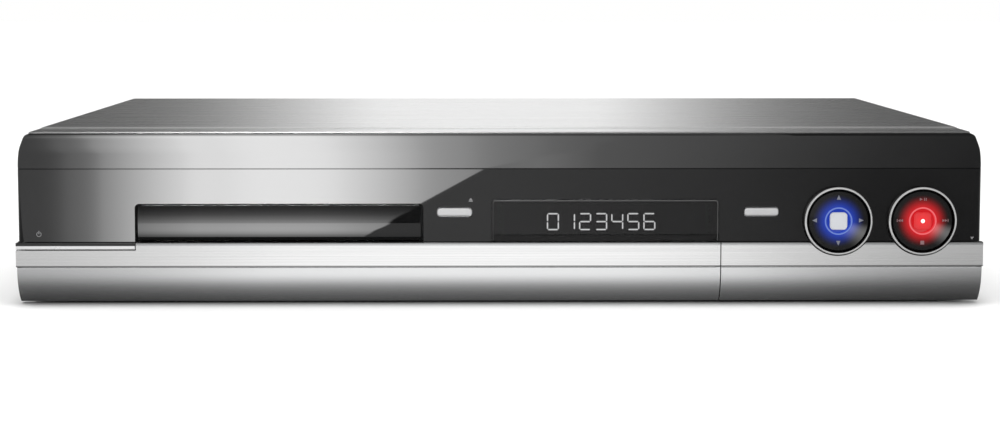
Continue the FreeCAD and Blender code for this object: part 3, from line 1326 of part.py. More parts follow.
def make_disk_body():
    """Cast body of the hard disk with side screw bosses."""
    x0, x1 = disk_x - disk_width / 2, disk_x + disk_width / 2
    y0, y1 = disk_y, disk_y + disk_length
    body = pad(rectangle(x0, x1, y0, y1, 3.0), "top", disk_z + 1.9, disk_z + disk_height - 3.4)
    rim = pad(rectangle(x0 + 3.0, x1 - 3.0, y0 + 3.0, y1 - 12.0), "top", disk_z + disk_height - 4.0,
              disk_z + disk_height - 1.0)
    groove = [box(x0 - 1, x0 + 1.6, y0 + 22.0, y1 - 22.0, disk_z + 9.0, disk_z + 17.0),
              box(x1 - 1.6, x1 + 1, y0 + 22.0, y1 - 22.0, disk_z + 9.0, disk_z + 17.0)]
    return fused([body, rim]).cut(Part.makeCompound(groove))


def make_disk_lid():
    """Pressed lid with a round rise over the platters and a smaller one over the arm."""
    x0, x1 = disk_x - disk_width / 2, disk_x + disk_width / 2
    y0, y1 = disk_y, disk_y + disk_length
    z0 = disk_z + disk_height - 1.0
    lid = pad(rectangle(x0 + 4.0, x1 - 4.0, y0 + 4.0, y1 - 13.0), "top", z0, z0 + 0.6)
    platter = rod(43.0, (disk_x, y0 + 50.0, z0 + 0.5), (disk_x, y0 + 50.0, z0 + 1.1))
    arm = rod(12.0, (disk_x - 24.0, y0 + 110.0, z0 + 0.5), (disk_x - 24.0, y0 + 110.0, z0 + 1.1))
    return fused([lid, platter, arm])


def make_disk_board():
    """The hard disk's circuit board under its body, with the sockets at its rear."""
    x0, x1 = disk_x - disk_width / 2, disk_x + disk_width / 2
    board = pad([(x0 + 4.0, disk_y + 36.0), (x1 - 4.0, disk_y + 36.0), (x1 - 4.0, disk_y + disk_length - 6.0),
                 (x0 + 4.0, disk_y + disk_length - 6.0)], "top", disk_z + 0.2, disk_z + 1.8)
    plug = box(x0 + 8.0, x0 + 60.0, disk_y + disk_length - 5.0, disk_y + disk_length + 1.0, disk_z - 1.0,
               disk_z + 1.8)
    tab = box(x0 + 8.0, x0 + 60.0, disk_y + disk_length - 7.0, disk_y + disk_length - 4.0, disk_z + 0.2,
              disk_z + 1.8)
    return fused([board, plug, tab])


def make_disk_bracket():
    """Two folded rails that hold the hard disk off the chassis plate."""
    rails = []
    for s in (-1, 1):
        inner = disk_x + s * (disk_width / 2 + 0.1)
        outer = disk_x + s * (disk_width / 2 + 1.3)
        wall = box(min(inner, outer), max(inner, outer), disk_y + 12.0, disk_y + disk_length - 14.0, floor_z,
                   disk_z + 20.0)
        foot_end = disk_x + s * (disk_width / 2 + 11.0)
        foot = box(min(inner, foot_end), max(inner, foot_end), disk_y + 12.0, disk_y + disk_length - 14.0,
                   floor_z, floor_z + 1.2)
        relief = [box(-width, width, y, y + 26.0, floor_z + 3.0, disk_z + 4.0)
                  for y in (disk_y + 24.0, disk_y + 84.0)]
        rails.append(fused([wall, foot]).cut(Part.makeCompound(relief)))
    return rails


def make_main_board():
    """Main board with its chips and connectors."""
    top = board_z + board_thickness
    board = pad(rectangle(main_board_left, half_chassis - 4.0, main_board_y, board_back_y), "top", board_z, top)
    parts = [board]
    for x, y, size in ((60.0, 62.0, 24.0), (112.0, 52.0, 20.0), (26.0, 96.0, 14.0), (150.0, 92.0, 18.0)):
        parts.append(box(x, x + size, y, y + size, top - 0.1, top + 1.8))
    for i in range(4):
        parts.append(box(88.0 + i * 6.0, 92.0 + i * 6.0, 104.0, 116.0, top - 0.1, top + 1.2))
    parts.append(box(main_board_left + 10.0, main_board_left + 34.0, main_board_y + 4.0, main_board_y + 10.0,
                     top - 0.1, top + 5.0))
    return fused(parts)


def make_chip_heatsink():
    """Finned heatsink on the largest chip."""
    z0 = board_z + board_thickness + 1.9
    base = box(61.0, 83.0, 63.0, 85.0, z0, z0 + 2.0)
    fins = [box(61.0 + i * 3.4, 62.4 + i * 3.4, 63.0, 85.0, z0 + 1.9, z0 + 10.0) for i in range(7)]
    return fused([base] + fins)


def make_power_board():
    """Power board with the small parts that stand on it."""
    top = board_z + board_thickness
    board = pad(rectangle(-half_chassis + 4.0, fan_x - fan_size / 2 - 6.0, power_board_y, board_back_y), "top",
                board_z, top)
    choke = box(-190.0, -172.0, 96.0, 112.0, top - 0.1, top + 16.0)
    plug = box(-90.0, -68.0, power_board_y + 6.0, power_board_y + 14.0, top - 0.1, top + 7.0)
    return fused([board, choke, plug])


def make_transformer():
    """Wound transformer: two E-shaped core halves round a bobbin."""
    top = board_z + board_thickness
    core = box(-140.0, -104.0, 74.0, 104.0, top + 3.0, top + 29.0)
    gaps = [box(-141.0, -103.0, 79.0, 84.0, top + 8.0, top + 24.0),
            box(-141.0, -103.0, 94.0, 99.0, top + 8.0, top + 24.0)]
    bobbin = box(-138.0, -106.0, 76.0, 102.0, top, top + 3.1)
    return fused([core.cut(Part.makeCompound(gaps)), bobbin])


def make_capacitors():
    """Upright round capacitors."""
    top = board_z + board_thickness
    places = [(-160.0, 60.0, 11.0, 30.0), (-86.0, 74.0, 6.3, 22.0), (-86.0, 92.0, 6.3, 22.0), (-86.0, 110.0, 5.0, 18.0)]
    cans = []
    for x, y, radius, tall in places:
        cans.append(rod(radius, (x, y, top), (x, y, top + tall)))
    return cans


def make_power_heatsinks():
    """Two upright aluminium heatsinks with fins."""
    top = board_z + board_thickness
    sinks = []
    for x in (-152.0, -100.0):
        plate = box(x, x + 2.0, 112.0, 142.0, top, top + 32.0)
        fins = [box(x - 7.0, x + 0.1, 112.0 + i * 5.6, 113.6 + i * 5.6, top, top + 32.0) for i in range(6)]
        sinks.append(fused([plate] + fins))
    return sinks


def make_fan_frame():
    """Square fan frame: bore, corner screw holes, struts and the motor's seat."""
    y1 = rear_y - chassis_sheet
    y0 = y1 - fan_depth
    s = fan_size / 2
    frame = pad(centred(fan_x, fan_z, fan_size, fan_size), "front", y0, y1)
    frame = frame.cut(rod(fan_bore, (fan_x, y0 - 1, fan_z), (fan_x, y1 + 1, fan_z)))
    parts = [frame]
    seat_y = y0 + 1.6
    parts.append(rod(11.0, (fan_x, y0, fan_z), (fan_x, seat_y, fan_z)))
    bars = box(fan_x - fan_bore - 1, fan_x + fan_bore + 1, y0, seat_y, fan_z - 1.5, fan_z + 1.5)
    upright = box(fan_x - 1.5, fan_x + 1.5, y0, seat_y, fan_z - fan_bore - 1, fan_z + fan_bore + 1)
    parts += [bars, upright, rod(1.5, (fan_x, y0, fan_z), (fan_x, y0 + 11.0, fan_z))]
    holes = [rod(2.0, (fan_x + a, y0 - 1, fan_z + b), (fan_x + a, y1 + 1, fan_z + b))
             for a in (-21.0, 21.0) for b in (-21.0, 21.0)]
    return fused(parts).cut(Part.makeCompound(holes))


def make_fan_rotor():
    """Hub with seven pitched blades."""
    y0 = rear_y - chassis_sheet - fan_depth + 2.2
    hub = turned([(1.5 + bearing_gap, 0.0), (10.6, 0.0), (10.6, 9.2), (9.6, 10.2), (1.5 + bearing_gap, 10.2)],
                 (fan_x, y0, fan_z), "Y")
    blade = pad([(fan_x - 5.6, y0 + 1.2), (fan_x - 4.6, y0 + 0.8), (fan_x + 5.6, y0 + 8.6),
                 (fan_x + 4.6, y0 + 9.2)], "top", fan_z + 9.6, fan_z + 24.0)
    blade = blade.common(rod(22.6, (fan_x, y0 - 1, fan_z), (fan_x, y0 + 12, fan_z)))
    blades = []
    for i in range(7):
        copy = blade.copy()
        copy.rotate(Vector(fan_x, y0, fan_z), Vector(0, 1, 0), i * 360.0 / 7)
        blades.append(copy)
    return fused([hub] + blades)


def make_flat_cable():
    """Flat cable from the front board to the main board, with a plug at each end."""
    x0, x1 = main_board_left + 14.0, main_board_left + 30.0
    y0 = key_board_y + board_thickness
    y1 = main_board_y + 7.0
    low = 8.0
    t = 0.8
    top = board_z + board_thickness + 5.0
    run = [(y0 + 1.2, 34.0), (y0 + 1.2, low, 3.0), (main_board_y - 5.0, low),
           (main_board_y - 5.0, top + 5.0), (y1 + t / 2, top + 5.0), (y1 + t / 2, top + 0.3),
           (y1 - t / 2, top + 0.3), (y1 - t / 2, top + 5.0 - t), (main_board_y - 5.0 + t, top + 5.0 - t),
           (main_board_y - 5.0 + t, low - t), (y0 + 1.2 - t, low - t, 3.8), (y0 + 1.2 - t, 34.0)]
    strip = pad(run, "side", x0, x1)
    plug = box(x0 - 1.5, x1 + 1.5, y0 + 0.05, y0 + 5.0, 30.0, 37.0)
    return fused([strip, plug])


def make_chassis_with_posts():
    """Chassis plate with the posts that hold the two rear boards."""
    body = make_bottom_chassis()
    posts = []
    right = half_chassis - 8.0
    for x in (main_board_left + 5.0, right):
        for y in (main_board_y + 5.0, board_back_y - 24.0):
            posts.append((x, y))
    for x in (-half_chassis + 9.0, fan_x - fan_size / 2 - 11.0):
        for y in (power_board_y + 5.0, board_back_y - 5.0):
            posts.append((x, y))
    pins = [box(x - 2.5, x + 2.5, y - 2.5, y + 2.5, floor_z - 0.1, board_z) for x, y in posts]
    return fused([body] + pins)


# Write every sub-part

os.makedirs("parts", exist_ok=True)

save("top_cover", make_top_cover())
save("bottom_chassis", make_chassis_with_posts())
save("feet", make_feet())
save("rear_panel", make_rear_panel())
save("rear_phono_sockets", make_rear_phono_sockets())
save("rear_av_sockets", make_wide_sockets())
save("small_rear_sockets", make_aerial_sockets() + make_digital_sockets())
save("mains_inlet", make_mains_inlet())

save("front_panel", make_front_panel())
save("front_frame", make_front_frame())
save("display_window", make_display_window())
save("lower_fascia", make_lower_fascia())
save("trim_band", make_trim_band())
save("flap", make_flap())
save("flap_trim", make_flap_trim())
save("flap_pins", make_flap_pins())
save("standby_button", make_standby_button())
save("open_close_button", make_panel_button(open_button_x))
save("ok_button", make_panel_button(ok_button_x))
save("dial_rings", [make_dial_ring(left_dial_x), make_dial_ring(right_dial_x)])
for side, dial_x in (("left", left_dial_x), ("right", right_dial_x)):
    save(side + "_dial_pad", make_dial_pad(dial_x))
    save(side + "_dial_rocker", make_rocker(dial_x))
    save(side + "_light_ring", make_light_ring(dial_x))
    save(side + "_centre_button", make_centre_button(dial_x))
save("key_switches", make_key_switches())
save("front_boards", [make_front_board(), make_standby_board(), make_socket_board()])
save("display_module", make_display_module())
save("front_sockets", make_front_sockets() + make_small_sockets())

save("tray", make_tray())
save("tray_front", make_tray_front())
save("tray_gear", make_tray_gear())
save("pulley_gear", make_pulley_gear())
save("motor_pulley", make_motor_pulley())
save("drive_belt", make_drive_belt())
save("loading_motor", make_loading_motor())
save("loader_frame", make_loader_frame())
save("loader_cover", [make_loader_cover(), make_clamp_bridge()])
save("clamper", make_clamper())
save("cam_slider", make_cam_slider())
save("traverse", make_traverse())
save("traverse_motors", [make_spindle_motor(), make_feed_motor()])
save("turntable", make_turntable())
save("guide_rods", make_guide_rods())
save("pickup_sled", make_sled())
save("pickup_lens", make_pickup_lens())
save("lead_screw", make_lead_screw())

save("hard_disk", [make_disk_body(), make_disk_lid()])
save("disk_board", make_disk_board())
save("disk_bracket", make_disk_bracket())
save("main_board", make_main_board())
save("power_board", make_power_board())
save("power_parts", [make_transformer()] + make_capacitors())
save("heatsinks", [make_chip_heatsink()] + make_power_heatsinks())
save("fan_frame", make_fan_frame())
save("fan_rotor", make_fan_rotor())
save("flat_cable", make_flat_cable())
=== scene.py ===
import json
import math

import bmesh
import bpy
from mathutils import Matrix, Vector


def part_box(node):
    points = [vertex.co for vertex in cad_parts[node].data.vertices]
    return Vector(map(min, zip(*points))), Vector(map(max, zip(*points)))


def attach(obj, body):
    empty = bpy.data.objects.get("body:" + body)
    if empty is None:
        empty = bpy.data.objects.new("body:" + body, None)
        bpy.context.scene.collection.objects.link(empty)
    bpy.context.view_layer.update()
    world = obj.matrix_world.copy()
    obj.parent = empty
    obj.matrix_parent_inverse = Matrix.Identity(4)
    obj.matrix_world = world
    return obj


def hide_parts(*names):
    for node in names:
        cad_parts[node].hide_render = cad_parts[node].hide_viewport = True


# A full-width disc recorder: brushed cover, glossy black panel, silver fascia and lit dials.
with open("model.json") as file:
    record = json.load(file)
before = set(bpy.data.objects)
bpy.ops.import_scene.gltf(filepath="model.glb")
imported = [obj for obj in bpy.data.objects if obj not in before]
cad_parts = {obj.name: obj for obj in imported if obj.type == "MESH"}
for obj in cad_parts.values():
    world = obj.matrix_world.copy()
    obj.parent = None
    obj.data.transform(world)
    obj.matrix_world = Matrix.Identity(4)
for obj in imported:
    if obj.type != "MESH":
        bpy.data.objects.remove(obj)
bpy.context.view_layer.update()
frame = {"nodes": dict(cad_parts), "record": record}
nodes = frame["nodes"]
mm = 0.001

# Places on the recorder, in millimetres
panel_face_y = -160.5  # glossy panel at its foot
panel_foot_z = 28.525
panel_groove_z = 61.3
panel_lean = 0.9  # from the foot to the groove
panel_edge_z = 76.62  # dull edge along its top
# front lip of the cover, dulled there and darkened with painted shade
cover_lip_y = -149.9
cover_lip_z = 77.35
# foot of the brushed strip, darkened below it with painted shade
band_foot_z = 18.02
window_face_y = -161.0
display_y = -154.8
cover_side_x = 213.5
rear_face_y = 155.5
chassis_under_z = 5.0
dial_z = 37.95
left_dial_x = 151.95
right_dial_x = 189.8
pad_face_y = -164.1  # at a pad's rim
pad_crown = 0.25  # how far its inner edge stands out
pad_inner = 6.31  # radius of the inner edge
pad_width = 6.9  # from there to the rim
centre_key_y = -164.8
glow_inner = 5.6  # coloured light on a pad, full to here
glow_outer = 12.6  # and gone from here on
guide_radius = 5.9  # middle line of a light ring
ring_radius = 14.85  # satin line of a dial's ring
bay_wall_y = -145.5
front_phono_x = 120.45
front_phono_z = 15.2
rear_phono_x = 79.0
rear_phono_rows = (20.0, 34.0, 48.0)
phono_pitch = 14.0


# Shader helpers

def node(tree, kind, inputs=None, **settings):
    """Adds a shader node, sets its properties and fills or links its inputs."""
    made = tree.nodes.new(kind)
    for key, value in settings.items():
        setattr(made, key, value)
    for key, value in (inputs or {}).items():
        if isinstance(value, bpy.types.NodeSocket):
            tree.links.new(value, made.inputs[key])
        else:
            made.inputs[key].default_value = value
    return made


def wire(tree, sockets, **values):
    """Links values to a shader's sockets; an underscore in a label stands for a space."""
    for label, value in values.items():
        tree.links.new(value, sockets[label.replace("_", " ")])


def maths(tree, operation, *values, clamp=False):
    inputs = dict(enumerate(values))
    return node(tree, "ShaderNodeMath", inputs, operation=operation, use_clamp=clamp).outputs[0]


def plus(tree, first, second):
    return maths(tree, "ADD", first, second)


def minus(tree, first, second):
    return maths(tree, "SUBTRACT", first, second)


def times(tree, first, second, clamp=False):
    return maths(tree, "MULTIPLY", first, second, clamp=clamp)


def distance(tree, across, up):
    """How far a place lies from a middle, from its two offsets."""
    return maths(tree, "SQRT", plus(tree, times(tree, across, across), times(tree, up, up)))


def spread(tree, value, low, high, to_low=0.0, to_high=1.0, smooth=False):
    """Maps a value from one range to another, held at its ends."""
    kind = "SMOOTHSTEP" if smooth else "LINEAR"
    inputs = {"Value": value, "From Min": low, "From Max": high, "To Min": to_low, "To Max": to_high}
    return node(tree, "ShaderNodeMapRange", inputs, interpolation_type=kind).outputs[0]


def between(tree, share, first, second):
    """A level between two, by the second one's share."""
    return spread(tree, share, 0.0, 1.0, first, second)


def apart(tree, first, second):
    return maths(tree, "ABSOLUTE", minus(tree, first, second))


def stepped(tree, value, corners):
    """Straight runs between corners (place, level), held at both ends."""
    total = corners[0][1]
    for (start, low), (end, high) in zip(corners, corners[1:]):
        total = plus(tree, total, spread(tree, value, start, end, 0.0, high - low))
    return total


def ramp(tree, value, stops, ease="B_SPLINE"):
    """A smooth curve of grey levels through stops (place, level)."""
    made = node(tree, "ShaderNodeValToRGB", {"Fac": value})
    made.color_ramp.interpolation = ease
    elements = made.color_ramp.elements
    while len(elements) < len(stops):
        elements.new(0.5)
    for element, (place, level) in zip(elements, stops):
        element.position = place
        element.color = grey(level)
    return made.outputs["Color"]


def blended(tree, share, first, second):
    """Mixes two colours by the second one's share."""
    return node(tree, "ShaderNodeMix", {0: share, 6: first, 7: second}, data_type="RGBA").outputs[2]


def grey(level):
    return (level, level, level, 1.0)


def toned(colour, share=1.0, more=0.0):
    """A colour made paler or deeper."""
    return tuple(min(1.0, c * share + more) for c in colour) + (1.0,)


def places_of(tree):
    """Object coordinates, which stay with a piece when it moves."""
    return node(tree, "ShaderNodeTexCoord").outputs["Object"]


def axes(tree, vector=None):
    """The x, y and z of a vector, or of a place on the piece itself."""
    return node(tree, "ShaderNodeSeparateXYZ", {0: vector or places_of(tree)}).outputs


def height_of(tree):
    return axes(tree)[2]


def stretched(tree, factors):
    inputs = {0: places_of(tree), 1: factors}
    return node(tree, "ShaderNodeVectorMath", inputs, operation="MULTIPLY").outputs[0]


def noise(tree, scale, detail=2.0, roughness=0.5, where=None):
    inputs = {"Vector": where or places_of(tree), "Scale": scale, "Detail": detail, "Roughness": roughness}
    return node(tree, "ShaderNodeTexNoise", inputs).outputs["Fac"]


def cells(tree, scale, channel):
    """A grey tone for each cell of a fine pattern, from one channel of its colour."""
    pattern = node(tree, "ShaderNodeTexVoronoi", {"Vector": places_of(tree), "Scale": scale})
    return node(tree, "ShaderNodeSeparateColor", {0: pattern.outputs["Color"]}).outputs[channel]


# Effects that several finishes share

def shader_group(name, inputs, outputs, fill):
    """A node group with named float or vector inputs and float outputs."""
    group = bpy.data.node_groups.new(name, "ShaderNodeTree")
    for label, value in inputs.items():
        kind = "NodeSocketVector" if isinstance(value, tuple) else "NodeSocketFloat"
        group.interface.new_socket(label, in_out="INPUT", socket_type=kind).default_value = value
    for label in outputs:
        group.interface.new_socket(label, in_out="OUTPUT", socket_type="NodeSocketFloat")
    given = group.nodes.new("NodeGroupInput").outputs
    results = fill(group, given)
    end = group.nodes.new("NodeGroupOutput")
    for label, result in zip(outputs, results):
        group.links.new(result, end.inputs[label])
    return group


def fill_brushing(tree, given):
    """Long fine scratches: noise drawn out along the axis with the small number."""
    lines = stretched(tree, given["Stretch"])
    broad = noise(tree, 1.0, where=lines)
    fine = noise(tree, 4.3, 3.0, 0.7, lines)
    tone = plus(tree, times(tree, broad, 0.45), times(tree, fine, 0.55))
    return spread(tree, tone, 0.32, 0.68), fine


def fill_grain(tree, given):
    """Fine pebbled surface of a moulding, with slow changes in its sheen."""
    pattern = node(tree, "ShaderNodeTexVoronoi", {"Vector": places_of(tree), "Scale": given["Scale"]})
    speckle = noise(tree, times(tree, given["Scale"], 2.3))
    height = plus(tree, pattern.outputs["Distance"], times(tree, speckle, 0.5))
    patches = noise(tree, times(tree, given["Scale"], 0.02), 3.0)
    return height, spread(tree, patches, 0.3, 0.7)


def fill_dust(tree, given):
    """Faint dust: specks that lie on surfaces facing up."""
    up = axes(tree, node(tree, "ShaderNodeNewGeometry").outputs["Normal"])[2]
    facing = spread(tree, up, 0.55, 0.98, smooth=True)
    film = noise(tree, 14.0, 4.0, 0.6)
    specks = noise(tree, 1500.0, 2.0, 0.6)
    cover = plus(tree, spread(tree, film, 0.35, 0.8), spread(tree, specks, 0.62, 0.7))
    return (times(tree, times(tree, cover, facing), given["Amount"], clamp=True),)


def fill_haze(tree, given):
    """Slow wiping marks that change how sharp a gloss is."""
    cloud = noise(tree, 1.0, 4.0, 0.62, stretched(tree, (16.0, 16.0, 34.0)))
    specks = noise(tree, 2100.0, 1.0)
    wiped = plus(tree, spread(tree, cloud, 0.35, 0.75), spread(tree, specks, 0.68, 0.76, 0.0, 0.5))
    return (times(tree, wiped, given["Amount"], clamp=True),)


def fill_glow(tree, given):
    """Light that spreads round a middle in the front plane and fades with distance."""
    x, _, z = axes(tree)
    reach = distance(tree, minus(tree, x, given["Middle X"]), minus(tree, z, given["Middle Z"]))
    fall = spread(tree, reach, given["Inner"], given["Outer"], 1.0, 0.0, smooth=True)
    return maths(tree, "POWER", fall, 1.6), reach


brushing = shader_group("brushing", {"Stretch": (1.0, 1.0, 1.0)}, ("Tone", "Height"), fill_brushing)
grain = shader_group("moulded_grain", {"Scale": 2200.0}, ("Height", "Patches"), fill_grain)
dust = shader_group("settled_dust", {"Amount": 0.1}, ("Cover",), fill_dust)
haze = shader_group("wiped_haze", {"Amount": 1.0}, ("Marks",), fill_haze)
glow = shader_group("round_glow", {"Middle X": 0.0, "Middle Z": 0.0, "Inner": 0.005, "Outer": 0.011},
                    ("Light", "Reach"), fill_glow)


def placed(tree, group, **inputs):
    made = tree.nodes.new("ShaderNodeGroup")
    made.node_tree = group
    for label, value in inputs.items():
        made.inputs[label.replace("_", " ")].default_value = value
    return made.outputs


def dial_glow(tree, middle_x, inner=5.0, outer=11.0):
    """The glow round a dial's middle, from inner to outer in millimetres."""
    return placed(tree, glow, Middle_X=middle_x * mm, Middle_Z=dial_z * mm, Inner=inner * mm,
                  Outer=outer * mm)


def bump(tree, sockets, height, distance):
    made = node(tree, "ShaderNodeBump", {"Height": height, "Distance": distance, "Strength": 1.0})
    wire(tree, sockets, Normal=made.outputs["Normal"])


# Finishes

dust_on_metal = (0.5, 0.49, 0.47, 1.0)
dust_on_moulding = (0.46, 0.45, 0.43, 1.0)
dust_on_gloss = (0.42, 0.41, 0.4, 1.0)


def new_finish(name, **settings):
    """A material with its Principled shader, and constants set on the shader's own sockets."""
    finish = bpy.data.materials.new(name)
    finish.use_nodes = True
    shader = finish.node_tree.nodes["Principled BSDF"]
    for label, value in settings.items():
        shader.inputs[label.replace("_", " ")].default_value = value
    return finish, finish.node_tree, shader.inputs


def brushed_metal(name, light, dark, rough, stretch, dusty=0.05, lip=None, foot=None):
    """Sheet with fine lines along one axis; duller and darkened with painted shade before and below lip
    (y, z), and darkened with painted shade below foot.
    """
    finish, tree, sockets = new_finish(name, Metallic=1.0)
    lines = placed(tree, brushing, Stretch=stretch)
    cover = placed(tree, dust, Amount=dusty)["Cover"]
    metal = blended(tree, lines["Tone"], grey(dark), grey(light))
    if lip:
        lip_y, lip_z = lip
        _, along, up = axes(tree)
        before = maths(tree, "LESS_THAN", along, lip_y * mm)
        edge = times(tree, before, maths(tree, "LESS_THAN", up, lip_z * mm))
        wire(tree, sockets, Metallic=between(tree, edge, 1.0, 0.66),
             Specular_IOR_Level=between(tree, edge, 0.5, 0.0))
        # painted shade: the cover's front lip is darkened halfway to black
        metal = blended(tree, times(tree, edge, 0.5), metal, grey(0.02))
    if foot:
        # painted shade: the brushed strip darkens to black below its foot, for the dark seam under it
        shade = spread(tree, height_of(tree), (foot - 0.1) * mm, foot * mm, 0.65, 0.0)
        metal = blended(tree, shade, metal, grey(0.02))
    worn = between(tree, lines["Tone"], rough + 0.05, rough - 0.05)
    wire(tree, sockets, Base_Color=blended(tree, cover, metal, dust_on_metal),
         Roughness=plus(tree, worn, times(tree, cover, 0.4)))
    bump(tree, sockets, lines["Height"], 0.004 * mm)
    return finish


def moulding(name, colour, rough, scale=2200.0, depth=0.02, mottle=0.12):
    """Moulded plastic or rubber with a fine grain, its depth in millimetres."""
    finish, tree, sockets = new_finish(name)
    surface = placed(tree, grain, Scale=scale)
    cover = placed(tree, dust, Amount=0.12)["Cover"]
    deep = toned(colour, 1.0 - mottle)
    pale = toned(colour, 1.0 + mottle, 0.004)
    body = blended(tree, surface["Patches"], deep, pale)
    uneven = between(tree, surface["Patches"], rough - 0.06, rough + 0.06)
    wire(tree, sockets, Base_Color=blended(tree, cover, body, dust_on_moulding),
         Roughness=plus(tree, uneven, times(tree, cover, 0.3)))
    bump(tree, sockets, surface["Height"], depth * mm)
    return finish


def gloss(name, colour, rough, level, crease=None, **settings):
    """Polished plastic with wiping marks; crease is the height of a crease and that of a dull edge."""
    finish, tree, sockets = new_finish(name, Specular_IOR_Level=level, **settings)
    wiped = placed(tree, haze)["Marks"]
    cover = placed(tree, dust, Amount=0.02)["Cover"]
    body = blended(tree, wiped, toned(colour), toned(colour, more=0.002))
    sheen = between(tree, wiped, rough, rough + 0.02)
    if crease:
        groove_z, edge_z = crease
        up = height_of(tree)
        off = apart(tree, up, groove_z * mm)
        faint = spread(tree, off, 0.2 * mm, 0.4 * mm, 0.45, 1.0)
        below = spread(tree, up, (edge_z - 0.25) * mm, edge_z * mm, level, 0.02)
        wire(tree, sockets, Specular_IOR_Level=times(tree, faint, below))
        sheen = maths(tree, "MAXIMUM", sheen, spread(tree, off, 0.2 * mm, 0.4 * mm, 0.08, 0.0))
    wire(tree, sockets, Base_Color=blended(tree, cover, body, dust_on_gloss), Roughness=sheen)
    return finish


def lacquer(name, colour, rough, metallic, flake=0.025, shades=None):
    """Silver paint with fine metal flake under it; shades darkens it by height with painted shade."""
    finish, tree, sockets = new_finish(name, Metallic=metallic)
    cover = placed(tree, dust, Amount=0.03)["Cover"]
    body = blended(tree, cells(tree, 9000.0, 0), toned(colour, 1.0 - flake), toned(colour, 1.0 + flake))
    if shades:
        # painted shade, darker by height
        shade = stepped(tree, height_of(tree), [(z * mm, level) for z, level in shades])
        body = blended(tree, shade, body, grey(0.012))
    wiped = placed(tree, haze)["Marks"]
    wire(tree, sockets, Base_Color=blended(tree, cover, body, dust_on_metal),
         Roughness=between(tree, wiped, rough - 0.01, rough + 0.02))
    return finish


def plated(name, colour, rough, spangle=60.0, strength=0.08):
    """Plated or cast metal with faint crystals in its tone."""
    finish, tree, sockets = new_finish(name, Metallic=1.0)
    cloud = noise(tree, spangle * 0.7, 4.0, 0.6)
    tone = plus(tree, times(tree, cells(tree, spangle, 1), 0.4), times(tree, cloud, 0.6))
    cover = placed(tree, dust, Amount=0.08)["Cover"]
    body = blended(tree, tone, toned(colour, 1.0 - strength), toned(colour, 1.0 + strength))
    wire(tree, sockets, Base_Color=blended(tree, cover, body, dust_on_metal),
         Roughness=spread(tree, tone, 0.2, 0.8, rough + 0.06, rough - 0.04))
    bump(tree, sockets, noise(tree, spangle * 30.0, 3.0), 0.006 * mm)
    return finish


def circuit_board(name):
    """Green solder mask over copper tracks, with rows of solder pads."""
    finish, tree, sockets = new_finish(name)
    where = places_of(tree)
    bricks = {"Vector": where, "Scale": 260.0, "Mortar Size": 0.03}
    tracks = node(tree, "ShaderNodeTexBrick", bricks, offset=0.37).outputs["Fac"]
    pads = node(tree, "ShaderNodeTexVoronoi", {"Vector": where, "Scale": 390.0, "Randomness": 0.25})
    solder = spread(tree, pads.outputs["Distance"], 0.2, 0.24, 1.0, 0.0)
    mask = blended(tree, tracks, (0.008, 0.085, 0.03, 1.0), (0.02, 0.15, 0.05, 1.0))
    wire(tree, sockets, Base_Color=blended(tree, solder, mask, (0.55, 0.56, 0.55, 1.0)), Metallic=solder,
         Roughness=between(tree, solder, 0.34, 0.25))
    bump(tree, sockets, plus(tree, tracks, solder), 0.03 * mm)
    return finish


def lit_pad(name, middle_x, colour):
    """Glossy black pad with coloured light that spreads out from its middle."""
    finish, tree, sockets = new_finish(name, Specular_IOR_Level=0.3, Emission_Strength=0.62)
    wiped = placed(tree, haze)["Marks"]
    light = dial_glow(tree, middle_x, glow_inner, glow_outer)["Light"]
    wire(tree, sockets, Base_Color=blended(tree, wiped, grey(0.004), grey(0.007)),
         Roughness=between(tree, wiped, 0.03, 0.07),
         Emission_Color=blended(tree, light, grey(0.0), toned(colour)))
    return finish


def light_guide(name, middle_x, colour, bright):
    """Clear ring that glows, brightest along its middle line."""
    finish, tree, sockets = new_finish(name, Emission_Strength=1.0, Roughness=0.2)
    off = apart(tree, dial_glow(tree, middle_x)["Reach"], guide_radius * mm)
    line = spread(tree, off, 0.0, 0.5 * mm, 1.0, 0.0, smooth=True)
    wire(tree, sockets, Base_Color=blended(tree, line, grey(0.03), grey(0.06)),
         Emission_Color=blended(tree, line, toned(colour), toned(bright)))
    return finish


def ring_finish(name):
    """Pale satin line along the front of each dial's ring, black on its walls."""
    finish, tree, sockets = new_finish(name, Metallic=0.6)
    reaches = [dial_glow(tree, x)["Reach"] for x in (left_dial_x, right_dial_x)]
    off = apart(tree, maths(tree, "MINIMUM", *reaches), ring_radius * mm)
    line = spread(tree, off, 0.34 * mm, 0.46 * mm, 1.0, 0.0)
    cloud = noise(tree, 180.0, 3.0)
    pale = blended(tree, cloud, grey(0.62), grey(0.7))
    wire(tree, sockets, Base_Color=blended(tree, line, grey(0.012), pale),
         Roughness=spread(tree, cloud, 0.2, 0.8, 0.2, 0.28))
    return finish


def lit_key(name, middle_x, colour, lit, strength):
    """Key moulded in a pale or coloured plastic that light comes through."""
    finish, tree, sockets = new_finish(name, Emission_Strength=strength, Specular_IOR_Level=0.5)
    patches = placed(tree, grain, Scale=1500.0)["Patches"]
    light = dial_glow(tree, middle_x, 1.5, 7.0)["Light"]
    wire(tree, sockets, Base_Color=blended(tree, patches, toned(colour, 0.94), toned(colour)),
         Roughness=between(tree, patches, 0.25, 0.33),
         Emission_Color=blended(tree, light, toned(lit, 0.6), toned(lit)))
    return finish


def smoked_glass(name):
    finish, tree, sockets = new_finish(name, Transmission_Weight=1.0, IOR=1.33)
    wiped = placed(tree, haze)["Marks"]
    wire(tree, sockets, Roughness=between(tree, wiped, 0.0, 0.012),
         Base_Color=blended(tree, wiped, (0.1, 0.1, 0.102, 1.0), (0.115, 0.115, 0.117, 1.0)))
    return finish


